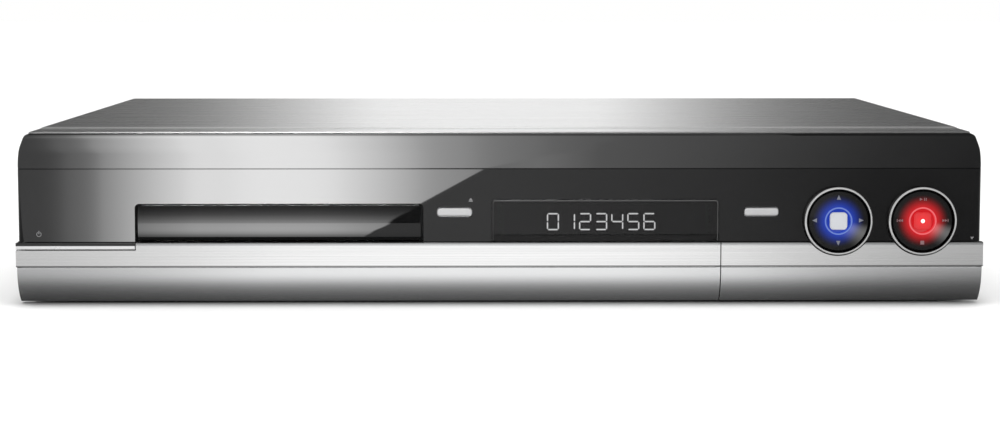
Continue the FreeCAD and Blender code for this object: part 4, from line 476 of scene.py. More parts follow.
def ribbon(name):
    """Flat cable: conductors side by side under a pale sheath."""
    finish, tree, sockets = new_finish(name)
    across = axes(tree)[0]
    stripe = spread(tree, maths(tree, "SINE", times(tree, across, 2 * math.pi / mm)), -0.6, 0.6)
    fade = noise(tree, 90.0, 3.0)
    pale = blended(tree, fade, (0.62, 0.62, 0.58, 1.0), (0.74, 0.74, 0.7, 1.0))
    wire(tree, sockets, Base_Color=blended(tree, stripe, grey(0.42), pale),
         Roughness=spread(tree, fade, 0.2, 0.8, 0.45, 0.6))
    bump(tree, sockets, stripe, 0.1 * mm)
    return finish


def ink(name, colour, strength=0.0):
    """Printed or lit marks and painted highlights, a little uneven."""
    finish, tree, sockets = new_finish(name, Emission_Strength=strength)
    patches = noise(tree, 1800.0)
    tone = blended(tree, patches, toned(colour, 0.9), toned(colour))
    wire(tree, sockets, Base_Color=tone, Emission_Color=tone,
         Roughness=spread(tree, patches, 0.2, 0.8, 0.4, 0.55))
    return finish


# Height and share of painted shade: in the seam under the brushed strip and along its lip, and over the
# standby bar's top in place of the dark gap above it
fascia_shades = [(17.0, 0.0), (17.1, 0.85), (17.4, 0.85), (17.5, 0.0), (26.7, 0.0), (27.4, 0.3),
                 (28.0, 0.7), (28.3, 0.85)]
standby_shades = [(26.8, 0.0), (27.0, 0.97)]
cover_lines = (3.0, 1800.0, 1800.0)
band_lines = (3.0, 1500.0, 1500.0)
fin_lines = (900.0, 3.0, 900.0)
black = (0.003, 0.003, 0.0032)
blue_edge, blue_line = (0.012, 0.04, 0.36), (0.11, 0.2, 0.58)
red_edge, red_line = (0.6, 0.015, 0.02), (0.85, 0.11, 0.13)

finishes = {
    "brushed_cover": brushed_metal("brushed_cover", 0.86, 0.72, 0.26, cover_lines, 0.04,
                                   lip=(cover_lip_y, cover_lip_z)),
    "brushed_band": brushed_metal("brushed_band", 0.93, 0.76, 0.24, band_lines, 0.02, foot=band_foot_z),
    "steel_sheet": plated("zinc_sheet", (0.60, 0.61, 0.63), 0.34),
    "rubber": moulding("foot_rubber", (0.022, 0.022, 0.023), 0.72, 1400.0, 0.04),
    "black_gloss": gloss("black_gloss", black, 0.012, 0.3),
    "smoked_window": smoked_glass("smoked_window"),
    "silver_paint": lacquer("silver_lacquer", (0.78, 0.785, 0.79), 0.23, 0.95, shades=fascia_shades),
    "silver_key": lacquer("silver_key", (0.56, 0.56, 0.565), 0.34, 0.55, flake=0.04),
    "chrome_ring": ring_finish("satin_ring"),
    "black_moulding": moulding("black_moulding", (0.028, 0.028, 0.03), 0.46),
    "grey_plastic": moulding("grey_moulding", (0.34, 0.345, 0.35), 0.42),
    "circuit_board": circuit_board("solder_mask"),
    "display_glass": gloss("display_glass", (0.012, 0.016, 0.017), 0.08, 0.5),
    "tray_plastic": moulding("tray_moulding", (0.045, 0.045, 0.048), 0.4, 2600.0, 0.015),
    "white_gear": moulding("gear_moulding", (0.78, 0.78, 0.73), 0.38, 3000.0, 0.01, 0.05),
    "belt_rubber": moulding("belt_rubber", (0.02, 0.02, 0.02), 0.6, 2600.0),
    "motor_steel": plated("nickel_plate", (0.62, 0.62, 0.63), 0.26, 160.0, 0.06),
    "polished_steel": plated("ground_steel", (0.72, 0.72, 0.74), 0.14, 300.0, 0.05),
    "cast_body": plated("cast_alloy", (0.52, 0.53, 0.54), 0.42, 400.0, 0.1),
    "heatsink_alloy": brushed_metal("extruded_alloy", 0.7, 0.55, 0.36, fin_lines),
    "cable_sheath": ribbon("ribbon_sheath"),
    "brass_pin": plated("bare_brass", (0.72, 0.55, 0.25), 0.3, 300.0, 0.1),
    "lens_glass": gloss("coated_lens", (0.05, 0.07, 0.16), 0.04, 0.9, Coat_Weight=0.6),
    "white_key": lit_key("white_key", left_dial_x, (0.55, 0.56, 0.58), (0.6, 0.65, 0.8), 0.12),
    "red_key": lit_key("red_key", right_dial_x, (0.3, 0.012, 0.015), (1.0, 0.02, 0.025), 0.55),
    "clear_ring": light_guide("blue_light_guide", left_dial_x, blue_edge, blue_line),
    "red_ring": light_guide("red_light_guide", right_dial_x, red_edge, red_line),
}
own_finish = {
    "front_panel": gloss("creased_gloss", black, 0.012, 0.3, crease=(panel_groove_z, panel_edge_z)),
    # painted shade over the bar's top stands in for the dark gap above it
    "standby_button": lacquer("standby_silver", (0.86, 0.86, 0.865), 0.28, 0.6, shades=standby_shades),
    "left_dial_pad": lit_pad("blue_lit_pad", left_dial_x, (0.012, 0.06, 0.62)),
    "right_dial_pad": lit_pad("red_lit_pad", right_dial_x, (0.95, 0.012, 0.02)),
}
for part in frame["record"]["subparts"]:
    name = part["node"]
    slots = nodes[name].data.materials
    finish = own_finish.get(name) or finishes[part["material_slot"]]
    for i in range(len(slots)):
        slots[i] = finish
    if not slots:
        slots.append(finish)


# Mesh helpers, in millimetres

def new_mesh(name, points, faces):
    mesh = bpy.data.meshes.new(name)
    mesh.from_pydata(points, [], faces)
    return mesh


def new_object(name, data):
    made = bpy.data.objects.new(name, data)
    bpy.context.scene.collection.objects.link(made)
    return made


def piece(name, points, faces, finish, body, smooth_angle=None, bevel=0.0):
    """A mesh object from points in millimetres, which rides on a body."""
    mesh = new_mesh(name, [tuple(c * mm for c in p) for p in points], faces)
    shape = bmesh.new()
    shape.from_mesh(mesh)
    bmesh.ops.recalc_face_normals(shape, faces=shape.faces)
    if bevel:
        sharp = [e for e in shape.edges if e.calc_face_angle(0.0) > 0.6]
        bmesh.ops.bevel(shape, geom=sharp, offset=bevel * mm, segments=2, affect="EDGES", profile=0.6)
    shape.to_mesh(mesh)
    shape.free()
    mesh.materials.append(finish)
    made = new_object(name, mesh)
    if smooth_angle is not None:
        mesh.shade_smooth()
        mesh.set_sharp_from_angle(angle=math.radians(smooth_angle))
    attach(made, body)
    return made


def joined(parts):
    """One list of points and faces from several."""
    points, faces = [], []
    for more, shapes in parts:
        start = len(points)
        points += more
        faces += [tuple(i + start for i in face) for face in shapes]
    return points, faces


def turned(profile, centre):
    """Points and faces of a closed profile (radius, reach) turned round an axis from front to back."""
    steps = 32
    points, faces = [], []
    for i in range(steps):
        angle = 2 * math.pi * i / steps
        for radius, reach in profile:
            offset = (radius * math.cos(angle), reach, radius * math.sin(angle))
            points.append(tuple(c + o for c, o in zip(centre, offset)))
    count = len(profile)
    for i in range(steps):
        a, b = i * count, (i + 1) % steps * count
        for j in range(count):
            k = (j + 1) % count
            faces.append((a + j, a + k, b + k, b + j))
    return points, faces


def block(centre, size):
    points = [tuple(c + s * h / 2 for c, s, h in zip(centre, (a, b, d), size))
              for a in (-1, 1) for b in (-1, 1) for d in (-1, 1)]
    return points, [(0, 1, 3, 2), (4, 6, 7, 5), (0, 4, 5, 1), (2, 3, 7, 6), (0, 2, 6, 4), (1, 5, 7, 3)]


def flat_mark(corners, face, thick):
    """A thin plate in the front plane; face gives its y from a corner's (x, z)."""
    count = len(corners)
    front = [(x, face(x, z) - thick, z) for x, z in corners]
    back = [(x, face(x, z) + 0.02, z) for x, z in corners]
    sides = [(i, (i + 1) % count, (i + 1) % count + count, i + count) for i in range(count)]
    return front + back, [tuple(range(count)), tuple(range(2 * count - 1, count - 1, -1))] + sides


def marks(name, shapes, face, finish, body, thick=0.06):
    points, faces = joined([flat_mark(shape, face, thick) for shape in shapes])
    return piece(name, points, faces, finish, body)


def level_face(y):
    """An upright face, the same y all over."""
    return lambda x, z: y


def panel_face(x, z):
    return panel_face_y + panel_lean * (z - panel_foot_z) / (panel_groove_z - panel_foot_z)


def dial_face(middle_x):
    """The crowned face of a pad."""
    def face(x, z):
        reach = math.hypot(x - middle_x, z - dial_z)
        return pad_face_y - pad_crown + pad_crown * (reach - pad_inner) / pad_width
    return face


def triangle(x, z, across, tall, turn=0):
    """Corners of a triangle that points up, turned by an angle in degrees."""
    a = math.radians(turn)
    corners = [(0, tall / 2), (-across / 2, -tall / 2), (across / 2, -tall / 2)]
    return [(x + u * math.cos(a) - v * math.sin(a), z + u * math.sin(a) + v * math.cos(a))
            for u, v in corners]


def bar(x, z, across, up):
    u, v = across / 2, up / 2
    return [(x - u, z - v), (x + u, z - v), (x + u, z + v), (x - u, z + v)]


def arc(x, z, inner, outer, start, end, steps=28):
    """Corners of a part of a ring in the front plane, angles in degrees."""
    turn = [math.radians(start + (end - start) * i / steps) for i in range(steps + 1)]
    return ([(x + outer * math.cos(a), z + outer * math.sin(a)) for a in turn]
            + [(x + inner * math.cos(a), z + inner * math.sin(a)) for a in reversed(turn)])


# Printed marks on the panel

panel_ink = ink("panel_ink", (0.28, 0.28, 0.285))
eject_x, eject_z = -13.3, 47.6
standby_x, standby_z = -207.5, 31.9
flap_mark_x, flap_mark_z = 213.0, 29.75

marks("eject_mark", [triangle(eject_x, eject_z, 1.8, 1.2), bar(eject_x, eject_z - 0.95, 1.8, 0.35)],
      panel_face, panel_ink, "case")
marks("standby_mark", [arc(standby_x, standby_z, 0.85, 1.15, 120, 420),
                       bar(standby_x, standby_z + 0.85, 0.32, 1.5)], panel_face, panel_ink, "case")
marks("flap_mark", [triangle(flap_mark_x, flap_mark_z, 1.7, 1.3, 180)], panel_face, panel_ink, "case")

# Painted highlight along the edge of the display window, brighter on the top and right than on the left

rim_left, rim_right, rim_foot, rim_top = -3.3, 97.9, 29.0, 46.9
rim_corner, rim_width = 1.2, 0.34
left_x, right_x, corner_z = rim_left + rim_corner, rim_right - rim_corner, rim_top - rim_corner
middle_z, rim_height = (corner_z + rim_foot) / 2, corner_z - rim_foot
inner, outer = rim_corner - rim_width / 2, rim_corner + rim_width / 2
rim = [("top", 0.1, bar((left_x + right_x) / 2, rim_top, right_x - left_x, rim_width)),
       ("right", 0.075, bar(rim_right, middle_z, rim_width, rim_height)),
       ("left", 0.03, bar(rim_left, middle_z, rim_width, rim_height)),
       ("right_corner", 0.09, arc(right_x, corner_z, inner, outer, 0, 90, 10)),
       ("left_corner", 0.07, arc(left_x, corner_z, inner, outer, 90, 180, 10))]
# painted highlight: each strip's level follows how light falls on that side of the window
for label, level, shape in rim:
    name = f"window_rim_{label}"
    marks(name, [shape], level_face(window_face_y), ink(name, (level,) * 3), "case")

# Marks on the dials

dial_ink = ink("dial_ink", (0.2, 0.21, 0.26))
rose_ink = ink("rose_ink", (0.26, 0.14, 0.15))
arrows = [triangle(left_dial_x + x, dial_z + z, 1.9, 2.1, turn)
          for x, z, turn in ((0, 10.7, 0), (0, -10.0, 180), (-10.8, 0.3, 90), (10.2, 0.3, -90))]
marks("arrow_marks", arrows, dial_face(left_dial_x), dial_ink, "left_pad")

sign_reach = 9.8
top_z, side_z = dial_z + sign_reach, dial_z + 0.2
signs = [triangle(right_dial_x - 0.8, top_z, 1.3, 1.3, -90), bar(right_dial_x + 0.65, top_z, 0.36, 1.3),
         bar(right_dial_x + 1.4, top_z, 0.36, 1.3), bar(right_dial_x, dial_z - sign_reach, 1.7, 1.7)]
for side, turn in ((-1, 90), (1, -90)):
    x = right_dial_x + side * 10.2
    signs += [triangle(x - side * 0.75, side_z, 1.25, 1.1, turn),
              triangle(x + side * 0.35, side_z, 1.25, 1.1, turn),
              bar(x + side * 1.25, side_z, 0.34, 1.25)]
marks("transport_marks", signs, dial_face(right_dial_x), rose_ink, "right_pad")

dot_steps = 32
dot = arc(right_dial_x, dial_z, 0.0, 0.9, 0, 360, dot_steps)[:dot_steps]
marks("record_mark", [dot], level_face(centre_key_y), ink("record_dot", (0.9, 0.9, 0.9), 0.5),
      "right_centre", 0.05)


# Display: a row of lit segment figures

figure_segments = {
    "top": ((-1, 1), (1, 1)), "middle": ((-1, 0), (1, 0)), "foot": ((-1, -1), (1, -1)),
    "upper_left": ((-1, 0), (-1, 1)), "upper_right": ((1, 0), (1, 1)),
    "lower_left": ((-1, -1), (-1, 0)), "lower_right": ((1, -1), (1, 0)),
}
# The lit segments of the figures 0 to 6
figures = [
    "top foot upper_left upper_right lower_left lower_right", "upper_right lower_right",
    "top upper_right middle lower_left foot", "top upper_right middle lower_right foot",
    "upper_left upper_right middle lower_right", "top upper_left middle lower_right foot",
    "top upper_left middle lower_left lower_right foot",
]
cell_width, cell_height, cell_pitch = 4.9, 7.2, 7.28
display_x, display_z = 45.7, 36.9
stroke_half = 0.31


def segment(start, end, half):
    """A stroke with pointed ends, a little short of its corners."""
    (x0, z0), (x1, z1) = start, end
    length = math.hypot(x1 - x0, z1 - z0)
    u, v = (x1 - x0) / length, (z1 - z0) / length
    cut = half * 0.55
    outline = ((cut, 0), (cut + half, half), (length - cut - half, half), (length - cut, 0),
               (length - cut - half, -half), (cut + half, -half))
    return [(x0 + u * along - v * out, z0 + v * along + u * out) for along, out in outline]


strokes = []
for place, lit in enumerate(figures):
    x = display_x + (place - 3) * cell_pitch
    for label in lit.split():
        ends = [(x + u * cell_width / 2, display_z + v * cell_height / 2)
                for u, v in figure_segments[label]]
        strokes.append(segment(*ends, stroke_half))
marks("display_figures", strokes, level_face(display_y), ink("display_light", (0.95, 0.95, 0.94), 5.5),
      "case", 0.12)


# Small fasteners

def screw_mesh():
    """A pan-head screw with a cross recess, its axis along z and its seat at zero."""
    rim = [(0.0, 1.75), (0.9, 1.7), (1.8, 1.5), (2.5, 1.05), (2.9, 0.35), (2.95, -0.2), (0.0, -0.2)]
    shape = bmesh.new()
    ring = [shape.verts.new((r, 0.0, h)) for r, h in rim]
    edges = [shape.edges.new(pair) for pair in zip(ring, ring[1:])]
    bmesh.ops.spin(shape, geom=ring + edges, cent=(0, 0, 0), axis=(0, 0, 1), angle=2 * math.pi, steps=20,
                   use_merge=True)
    bmesh.ops.remove_doubles(shape, verts=shape.verts, dist=0.0005)
    bmesh.ops.recalc_face_normals(shape, faces=shape.faces)
    head = bpy.data.meshes.new("screw_head")
    shape.to_mesh(head)
    shape.free()
    solid = new_object("screw_head", head)
    cutters = []
    for i, size in enumerate(((3.1, 0.62, 1.7), (0.62, 3.1, 1.7))):
        name = f"screw_cross_{i}"
        cutters.append(new_object(name, new_mesh(name, *block((0, 0, 1.6), size))))
    for cutter in cutters:
        cut = solid.modifiers.new("recess", "BOOLEAN")
        cut.operation = "DIFFERENCE"
        cut.object = cutter
        cut.solver = "EXACT"
    seen = solid.evaluated_get(bpy.context.evaluated_depsgraph_get()).to_mesh()
    points = [tuple(v.co) for v in seen.vertices]
    faces = [tuple(p.vertices) for p in seen.polygons]
    for thing in [solid] + cutters:
        bpy.data.objects.remove(thing)
    return points, faces


screw_points, screw_faces = screw_mesh()


def screws(name, places, out, scale=0.9):
    """Screw heads at places, facing along the direction out, each turned a little differently."""
    parts = []
    towards = Vector(out).to_track_quat("Z", "Y").to_matrix()
    for i, place in enumerate(places):
        turn = Matrix.Rotation(0.7 + 1.9 * i, 3, "Z")
        head = [tuple(Vector(place) + towards @ (turn @ (Vector(p) * scale))) for p in screw_points]
        parts.append((head, screw_faces))
    points, faces = joined(parts)
    return piece(name, points, faces, finishes["motor_steel"], "case", smooth_angle=35)


side_screw_z = 20.0
fan_x, fan_z, fan_screw_reach = -34.0, 35.0, 20.5
for label, side in (("left", -1), ("right", 1)):
    screws(f"{label}_cover_screws", [(side * cover_side_x, y, side_screw_z) for y in (-60.0, 95.0)],
           (side, 0, 0))
screws("rear_screws", [(x, rear_face_y, z) for x, z in (
    (-200.0, 66.0), (-66.0, 66.0), (66.0, 66.0), (200.0, 66.0),
    (-120.0, 16.0), (-206.0, 16.0), (150.0, 16.0), (204.0, 16.0))], (0, 1, 0))
screws("fan_screws", [(fan_x + u * fan_screw_reach, rear_face_y, fan_z + v * fan_screw_reach)
                      for u in (-1, 1) for v in (-1, 1)], (0, 1, 0), 0.8)
screws("under_screws", [(x, y, chassis_under_z) for x, y in (
    (-190.0, -60.0), (190.0, -60.0), (-190.0, 60.0), (190.0, 60.0),
    (-60.0, 140.0), (60.0, 140.0), (-150.0, -130.0), (0.0, -130.0))], (0, 0, -1))


# Sockets: coloured collars and contacts

collars = {label: moulding(f"{label}_collar", colour, 0.38, 2600.0, 0.01) for label, colour in (
    ("yellow", (0.78, 0.55, 0.03)), ("white", (0.75, 0.75, 0.73)), ("red", (0.55, 0.025, 0.02)),
    ("green", (0.02, 0.3, 0.07)), ("blue", (0.02, 0.08, 0.42)))}
collar_profile = [(4.2, 0.3), (4.2, 2.0), (4.4, 2.25), (4.75, 2.25), (5.05, 1.9), (5.15, 0.3)]


def phono_collar(name, colour, place, facing):
    """A collar that stands out of a wall, backwards (1) or forwards (-1)."""
    points, faces = turned([(radius, facing * reach) for radius, reach in collar_profile], place)
    return piece(name, points, faces, collars[colour], "case", smooth_angle=40)


for column, colours in enumerate((("green", "white", "yellow"), ("blue", "red", "white"), ("red",))):
    x = rear_phono_x + column * phono_pitch
    for row, (colour, z) in enumerate(zip(colours, rear_phono_rows)):
        phono_collar(f"rear_collar_{column}_{row}", colour, (x, rear_face_y, z), 1)
for column, colour in enumerate(("yellow", "white", "red")):
    x = front_phono_x + column * phono_pitch
    phono_collar(f"front_collar_{column}", colour, (x, bay_wall_y, front_phono_z), -1)


def contacts(name, places, size):
    points, faces = joined([block(place, size) for place in places])
    return piece(name, points, faces, finishes["brass_pin"], "case", bevel=0.08)


blade_start_x, blade_pitch, blade_row_reach = 26.8, 3.6, 5.05
for row, z in enumerate((22.0, 46.0)):
    blades = [(blade_start_x + blade_pitch * i, rear_face_y - 3.2, z + level * blade_row_reach)
              for i in range(10) for level in (-1, 1)]
    contacts(f"av_contacts_{row}", blades, (1.5, 4.6, 0.5))
contacts("data_contacts", [(192.85 + 2.4 * i, -143.2, 14.86) for i in range(4)], (1.1, 6.0, 0.24))


# Lead screw with its thread

def threaded_rod(middle_x, middle_z, start_y, end_y):
    """A rod along y with one thread round it and plain ends."""
    root, crest, lead = 1.28, 1.68, 3.0
    plain_radius, plain_length = 1.15, 3.0
    around, ring_spacing = 20, 0.25
    rings = int((end_y - start_y) / ring_spacing)
    points, faces = [], []
    for i in range(rings + 1):
        y = start_y + (end_y - start_y) * i / rings
        plain = y < start_y + plain_length or y > end_y - plain_length
        for j in range(around):
            angle = 2 * math.pi * j / around
            phase = (y / lead - j / around) % 1.0
            ridge = min(1.0, max(0.0, 2.2 - abs(phase - 0.5) * 8.0))
            radius = plain_radius if plain else root + (crest - root) * ridge
            points.append((middle_x + radius * math.cos(angle), y, middle_z + radius * math.sin(angle)))
    for i in range(rings):
        for j in range(around):
            k = (j + 1) % around
            faces.append((i * around + j, i * around + k, (i + 1) * around + k, (i + 1) * around + j))
    faces += [tuple(range(around)), tuple(rings * around + j for j in range(around))]
    return points, faces


low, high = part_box("lead_screw")
points, faces = threaded_rod(-72.0, 27.3, low.y / mm, high.y / mm)
thread = piece("threaded_screw", points, faces, finishes["polished_steel"], "feed_screw",
               smooth_angle=50)
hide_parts("lead_screw")


# Studio: floor and reflected cards

def upright(y, half_width, foot, top):
    """Corners of an upright surface, in metres like the rest of the studio."""
    return [(-half_width, y, foot), (half_width, y, foot), (half_width, y, top), (-half_width, y, top)]


def level_sheet(z, left, right, front, back):
    return [(left, front, z), (right, front, z), (right, back, z), (left, back, z)]


def stage_plane(name, corners, shader):
    mesh = new_mesh(name, corners, [(0, 1, 2, 3)])
    mesh.materials.append(shader)
    made = new_object(name, mesh)
    return made


def linked_to(light, receivers):
    """Only the receivers are lit by this light or card."""
    group = bpy.data.collections.new(light.name + "_receivers")
    for receiver in receivers:
        group.objects.link(receiver)
    light.light_linking.receiver_collection = group


def card(name, corners, fill, seen_by=()):
    """A surface that shows only in reflections; fill gives its brightness. A card that is seen by some
    pieces only is clear, so that it hides nothing behind it."""
    finish = bpy.data.materials.new(name)
    finish.use_nodes = True
    tree = finish.node_tree
    tree.nodes.remove(tree.nodes["Principled BSDF"])
    x, y, z = axes(tree)
    result = node(tree, "ShaderNodeEmission", {"Strength": fill(tree, x, y, z)}).outputs[0]
    if seen_by:
        see_through = node(tree, "ShaderNodeBsdfTransparent").outputs[0]
        result = node(tree, "ShaderNodeAddShader", {0: result, 1: see_through}).outputs[0]
    tree.links.new(result, tree.nodes["Material Output"].inputs["Surface"])
    made = stage_plane(name, corners, finish)
    for rays in ("camera", "diffuse", "transmission", "shadow", "volume_scatter"):
        setattr(made, f"visible_{rays}", False)
    if seen_by:
        linked_to(made, [nodes[label] for label in seen_by])
    return made


def beyond(tree, value, limit):
    """How far a place lies outside a limit on either side of the middle."""
    return maths(tree, "MAXIMUM", minus(tree, maths(tree, "ABSOLUTE", value), limit), 0.0)


def floor_finish():
    """Pale floor with a painted contact shadow under the recorder and close round it."""
    finish, tree, sockets = new_finish("pale_floor", Roughness=0.9, Specular_IOR_Level=0.1)
    pale = blended(tree, noise(tree, 3.0, 3.0), grey(0.86), grey(0.88))
    half_width, half_depth, reach = 0.206, 0.156, 0.021
    x, y, _ = axes(tree)
    # painted contact shadow: dark grey under the recorder, fading to pale within reach of its outline
    out = distance(tree, beyond(tree, x, half_width), beyond(tree, y, half_depth))
    light = spread(tree, out, 0.0, reach, smooth=True)
    wire(tree, sockets, Base_Color=blended(tree, light, grey(0.44), pale))
    return finish


floor = stage_plane("floor", level_sheet(0, -9, 9, -9, 9), floor_finish())

# Cards that lie over each other each have a plane of their own, so that none hides another.
card_y = -0.6
card_foot = 0.0005
card_top = 2.0
floor_card_z = 0.0002
# The cards are laid out for the photograph's view, from this far in front of the panel and left of its
# middle: a place on the panel mirrors a place on the cards this many times as far out, and shifted.
view_distance, view_shift = 1.0114, 0.01009
panel_to_card, panel_to_top, field_shift = 1.435, 3.0, 0.0043
field_left, field_right = -0.2175, 0.0825  # on the panel
field_stops = [(0.0, 0.05), (0.07, 0.1), (0.13, 0.3), (0.25, 0.82), (0.32, 0.94), (0.4, 1.0), (0.49, 0.87),
               (0.6, 0.47), (0.69, 0.27), (0.8, 0.15), (1.0, 0.07)]
slant = [(0.0, -0.1), (0.0284, -0.0472), (0.0507, -0.006), (0.092, -0.006), (0.103, 0.047),
         (0.2096, 0.067), (0.2125, 0.081), (0.4, 0.088), (1.08, 0.0945), (2.0, 0.1)]


def lit_field(tree, across):
    """How bright the lights in front are from left to right, by place on the panel."""
    return ramp(tree, spread(tree, across, field_left, field_right), field_stops, "CARDINAL")


def left_of(tree, edge, across, blur):
    """One to the left of an edge, none to the right of it."""
    return spread(tree, minus(tree, edge, across), -blur, blur)


def front_card_fill(tree, x, y, z):
    """Soft bright field on the left, cut off by a slanted edge, with a faint glow right of it."""
    growth = stepped(tree, z, [(0.1, panel_to_card), (0.4, 1.59), (1.08, 2.15), (card_top, panel_to_top)])
    across = maths(tree, "DIVIDE", minus(tree, x, field_shift), growth)
    field = times(tree, lit_field(tree, across), 31.3)
    inside = left_of(tree, stepped(tree, z, slant), x, 0.0006)
    low = stepped(tree, across, [(-0.01, 1.43), (0.107, 0.85), (0.17, 0.33), (0.215, 0.27)])
    high = stepped(tree, across, [(0.018, 5.6), (0.045, 3.1), (0.09, 2.2), (0.135, 1.27), (0.17, 0.73),
                                  (0.211, 0.39)])
    rest = between(tree, spread(tree, z, 0.07, 0.08), low, high)
    return between(tree, inside, rest, field)


card("front_card", upright(card_y, 0.6, card_foot, card_top), front_card_fill,
     ("front_panel", "display_window", "left_dial_pad", "right_dial_pad"))


def ceiling_fill(tree, x, y, z):
    """The field carried on overhead, for the round top of the panel."""
    return times(tree, lit_field(tree, maths(tree, "DIVIDE", x, panel_to_top)), 13.0)


card("ceiling", level_sheet(card_top, -1.5, 0.4, card_y, 1.5), ceiling_fill, ("front_panel",))


def metal_wall_fill(tree, x, y, z):
    """Soft wall in front, as the silver pieces see it."""
    across = maths(tree, "DIVIDE", x, panel_to_card)
    return stepped(tree, across, [(-0.2175, 0.65), (-0.17, 0.85), (-0.09, 1.1), (0.045, 1.1), (0.09, 0.98),
                                  (0.135, 0.8), (0.18, 0.6), (0.2175, 0.52)])


card("metal_wall", upright(card_y - 0.002, 0.8, card_foot, card_top), metal_wall_fill,
     ("trim_band", "flap_trim", "lower_fascia", "flap", "standby_button", "open_close_button", "ok_button",
      "dial_rings", "left_centre_button", "right_centre_button"))


def cover_wall_fill(tree, x, y, z):
    """Soft wall in front, as the folds at the front of the cover see it."""
    growth = stepped(tree, z, [(0.1, panel_to_card), (card_top, panel_to_top)])
    across = maths(tree, "DIVIDE", x, growth)
    return stepped(tree, across, [(-0.2, 0.03), (-0.15, 0.18), (-0.09, 0.85), (-0.02, 1.3), (0.045, 1.2),
                                  (0.09, 0.65), (0.135, 0.16), (0.2, 0.02)])


card("cover_wall", upright(card_y - 0.003, 0.8, card_foot, card_top), cover_wall_fill, ("top_cover",))
card("cover_ceiling", level_sheet(card_top + 0.01, -2.0, 2.0, card_y, 2.0), cover_wall_fill,
     ("top_cover",))


def door_wall_fill(tree, x, y, z):
    """The lights in front as the tray's rounded front sees them above the floor."""
    across = maths(tree, "DIVIDE", minus(tree, x, field_shift), panel_to_card)
    level = stepped(tree, z, [(0.012, 9.2), (0.045, 5.6), (0.12, 2.3), (0.2, 0.9), (0.3, 0.4), (0.6, 0.1)])
    edge = stepped(tree, z, [(0.0, -0.0512), (0.031, -0.049), (0.097, -0.0456), (0.167, -0.0413),
                             (0.243, -0.0384)])
    inside = left_of(tree, edge, across, 0.0008)
    return times(tree, times(tree, level, inside), lit_field(tree, across))


def door_floor_fill(tree, x, y, z):
    """The floor's sheen as the tray's rounded front sees it."""
    reach = maths(tree, "DIVIDE", minus(tree, panel_face_y * mm, y), view_distance)
    shifted = minus(tree, x, times(tree, reach, view_shift))
    across = maths(tree, "DIVIDE", shifted, plus(tree, reach, 1.0))
    level = stepped(tree, y, [(-0.598, 9.4), (-0.516, 10.0), (-0.365, 12.5), (-0.286, 13.4), (-0.25, 12.8),
                              (-0.226, 9.2), (-0.214, 4.8), (-0.205, 2.0), (-0.2, 1.7)])
    edge = stepped(tree, y, [(-0.598, -0.0468), (-0.516, -0.0473), (-0.365, -0.0505), (-0.286, -0.054),
                             (-0.226, -0.059), (-0.205, -0.0624), (-0.2, -0.0641)])
    rest = spread(tree, y, -0.598, -0.35, 0.0, 0.035)
    inside = maths(tree, "MAXIMUM", left_of(tree, edge, across, 0.0008), rest)
    return times(tree, times(tree, level, inside), lit_field(tree, across))


card("door_wall", upright(card_y - 0.001, 0.6, card_foot, 0.6), door_wall_fill, ("tray_front",))
card("door_floor", level_sheet(0.0006, -0.6, 0.6, card_y + 0.002, -0.17), door_floor_fill, ("tray_front",))


def spot_fill(middle_x):
    """A long soft spot on the floor."""
    middle_y, half_width, level = -0.38, 0.04, 5.5

    def fill(tree, x, y, z):
        reach = distance(tree, minus(tree, x, middle_x), times(tree, minus(tree, y, middle_y), 0.25))
        return spread(tree, reach, 0.0, half_width, level, 0.0, smooth=True)
    return fill


for label, spot_x, height in (("left", 0.217, 0.0008), ("right", 0.263, 0.001)):
    card(f"{label}_dial_spot", level_sheet(height, 0.1, 0.35, -0.55, -0.17), spot_fill(spot_x),
         (f"{label}_dial_pad",))


def floor_card_fill(tree, x, y, z):
    """Floor in front of the recorder as its band and fascia see it, dark close by."""
    sides = ramp(tree, spread(tree, x, -0.265, 0.265), [
        (0.0, 0.52), (0.1, 0.56), (0.2, 0.76), (0.3, 1.0), (0.6, 1.0), (0.72, 0.86), (0.8, 0.6),
        (0.9, 0.42), (1.0, 0.36)])
    near = spread(tree, y, -0.30, -0.155)
    sides = maths(tree, "POWER", sides, maths(tree, "MULTIPLY_ADD", near, 0.9, 1.0))
    depth = ramp(tree, near, [(0.0, 0.94), (0.55, 1.0), (0.76, 0.98), (0.86, 0.63), (0.93, 0.18),
                              (1.0, 0.03)])
    inside = maths(tree, "GREATER_THAN", y, card_y + 0.002)
    lit = times(tree, times(tree, sides, depth), times(tree, inside, 1.06))
    return plus(tree, lit, between(tree, inside, 0.12, 0.015))


def around_card_fill(tree, x, y, z):
    """Floor beside and behind the recorder as its sheet metal sees it, brighter further out."""
    side_x, back_y = 0.215, 0.156
    beside = minus(tree, maths(tree, "ABSOLUTE", x), side_x)
    out = maths(tree, "MAXIMUM", beside, minus(tree, y, back_y))
    return stepped(tree, out, [(-0.05, 0.03), (0.0, 0.14), (0.08, 0.34), (0.3, 0.56), (1.5, 0.7)])


def back_card_fill(tree, x, y, z):
    """Wall behind the recorder, bright in the middle, as its cover sees it."""
    return ramp(tree, spread(tree, x, -0.48, 0.5), [
        (0.0, 0.03), (0.1, 0.06), (0.2, 0.19), (0.3, 0.66), (0.38, 1.06), (0.45, 1.29), (0.55, 1.29),
        (0.64, 0.86), (0.72, 0.42), (0.8, 0.15), (0.9, 0.04), (1.0, 0.03)])


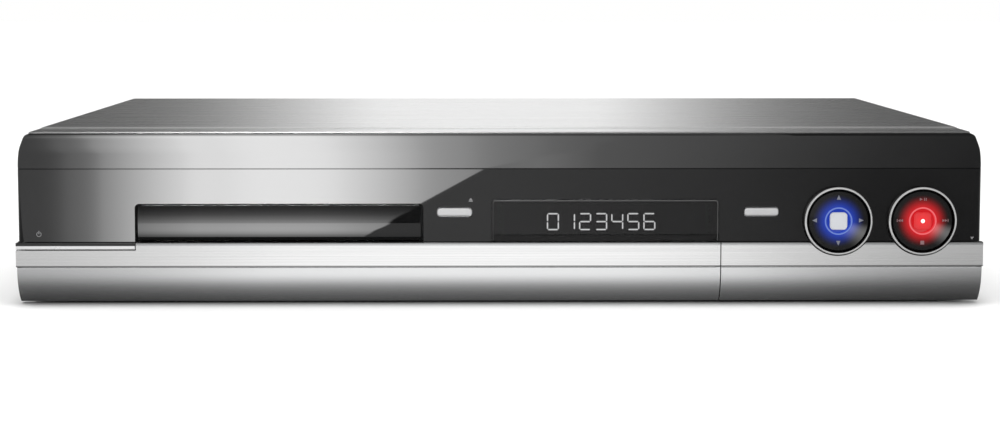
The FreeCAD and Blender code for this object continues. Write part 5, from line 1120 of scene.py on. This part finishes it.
card("floor_card", level_sheet(floor_card_z, -3.0, 3.0, -8.0, -0.15), floor_card_fill)
card("around_card", level_sheet(floor_card_z, -3.0, 3.0, -0.1495, 1.19), around_card_fill)
card("back_card", upright(1.2, 1.0, 0.0, 0.9), back_card_fill)


# World and lights

def studio_world():
    """Even white light, which is much darker in reflections, most of all in front and above."""
    world = bpy.data.worlds.new("studio")
    world.use_nodes = True
    tree = world.node_tree
    background = tree.nodes["Background"]
    background.inputs["Color"].default_value = (1.0, 1.0, 0.995, 1.0)
    _, ahead, up = axes(tree, node(tree, "ShaderNodeTexCoord").outputs["Generated"])
    in_front = spread(tree, ahead, -0.92, -0.55, -0.15, 0.0, smooth=True)
    above = spread(tree, up, 0.4, 0.8, 0.3, 0.2, smooth=True)
    mirrored = node(tree, "ShaderNodeLightPath").outputs["Is Glossy Ray"]
    less = minus(tree, plus(tree, in_front, above), 1.0)
    wire(tree, background.inputs, Strength=maths(tree, "MULTIPLY_ADD", less, mirrored, 1.0))
    return world


bpy.context.scene.world = studio_world()

lamp = bpy.data.lights.new("overhead", "AREA")
lamp.shape = "RECTANGLE"
lamp.size = 1.6
lamp.size_y = 1.2
lamp.energy = 6.0
overhead = new_object("overhead", lamp)
overhead.location = (0.0, -0.1, 1.5)
overhead.rotation_euler = Vector((0.0, 0.1, -1.5)).to_track_quat("-Z", "Y").to_euler()
overhead.visible_glossy = False

sun = bpy.data.lights.new("floor_sun", "SUN")
sun.energy = 0.8
sun.angle = math.radians(90.0)
linked_to(new_object("floor_sun", sun), [floor])

# Camera at the photograph's viewing angle
tilt_down, turn_right = 5.60, 0.563
optics = bpy.data.cameras.new("camera")
optics.sensor_fit = "HORIZONTAL"
optics.sensor_width = 36.0
optics.lens = 81.28
optics.clip_start = 0.01
optics.clip_end = 50.0
camera = new_object("camera", optics)
camera.location = (-0.01009, -1.1719, 0.1410)
camera.rotation_euler = (math.radians(90.0 - tilt_down), 0.0, math.radians(-turn_right))
bpy.context.scene.camera = camera
bpy.context.scene.view_settings.view_transform = "Standard"
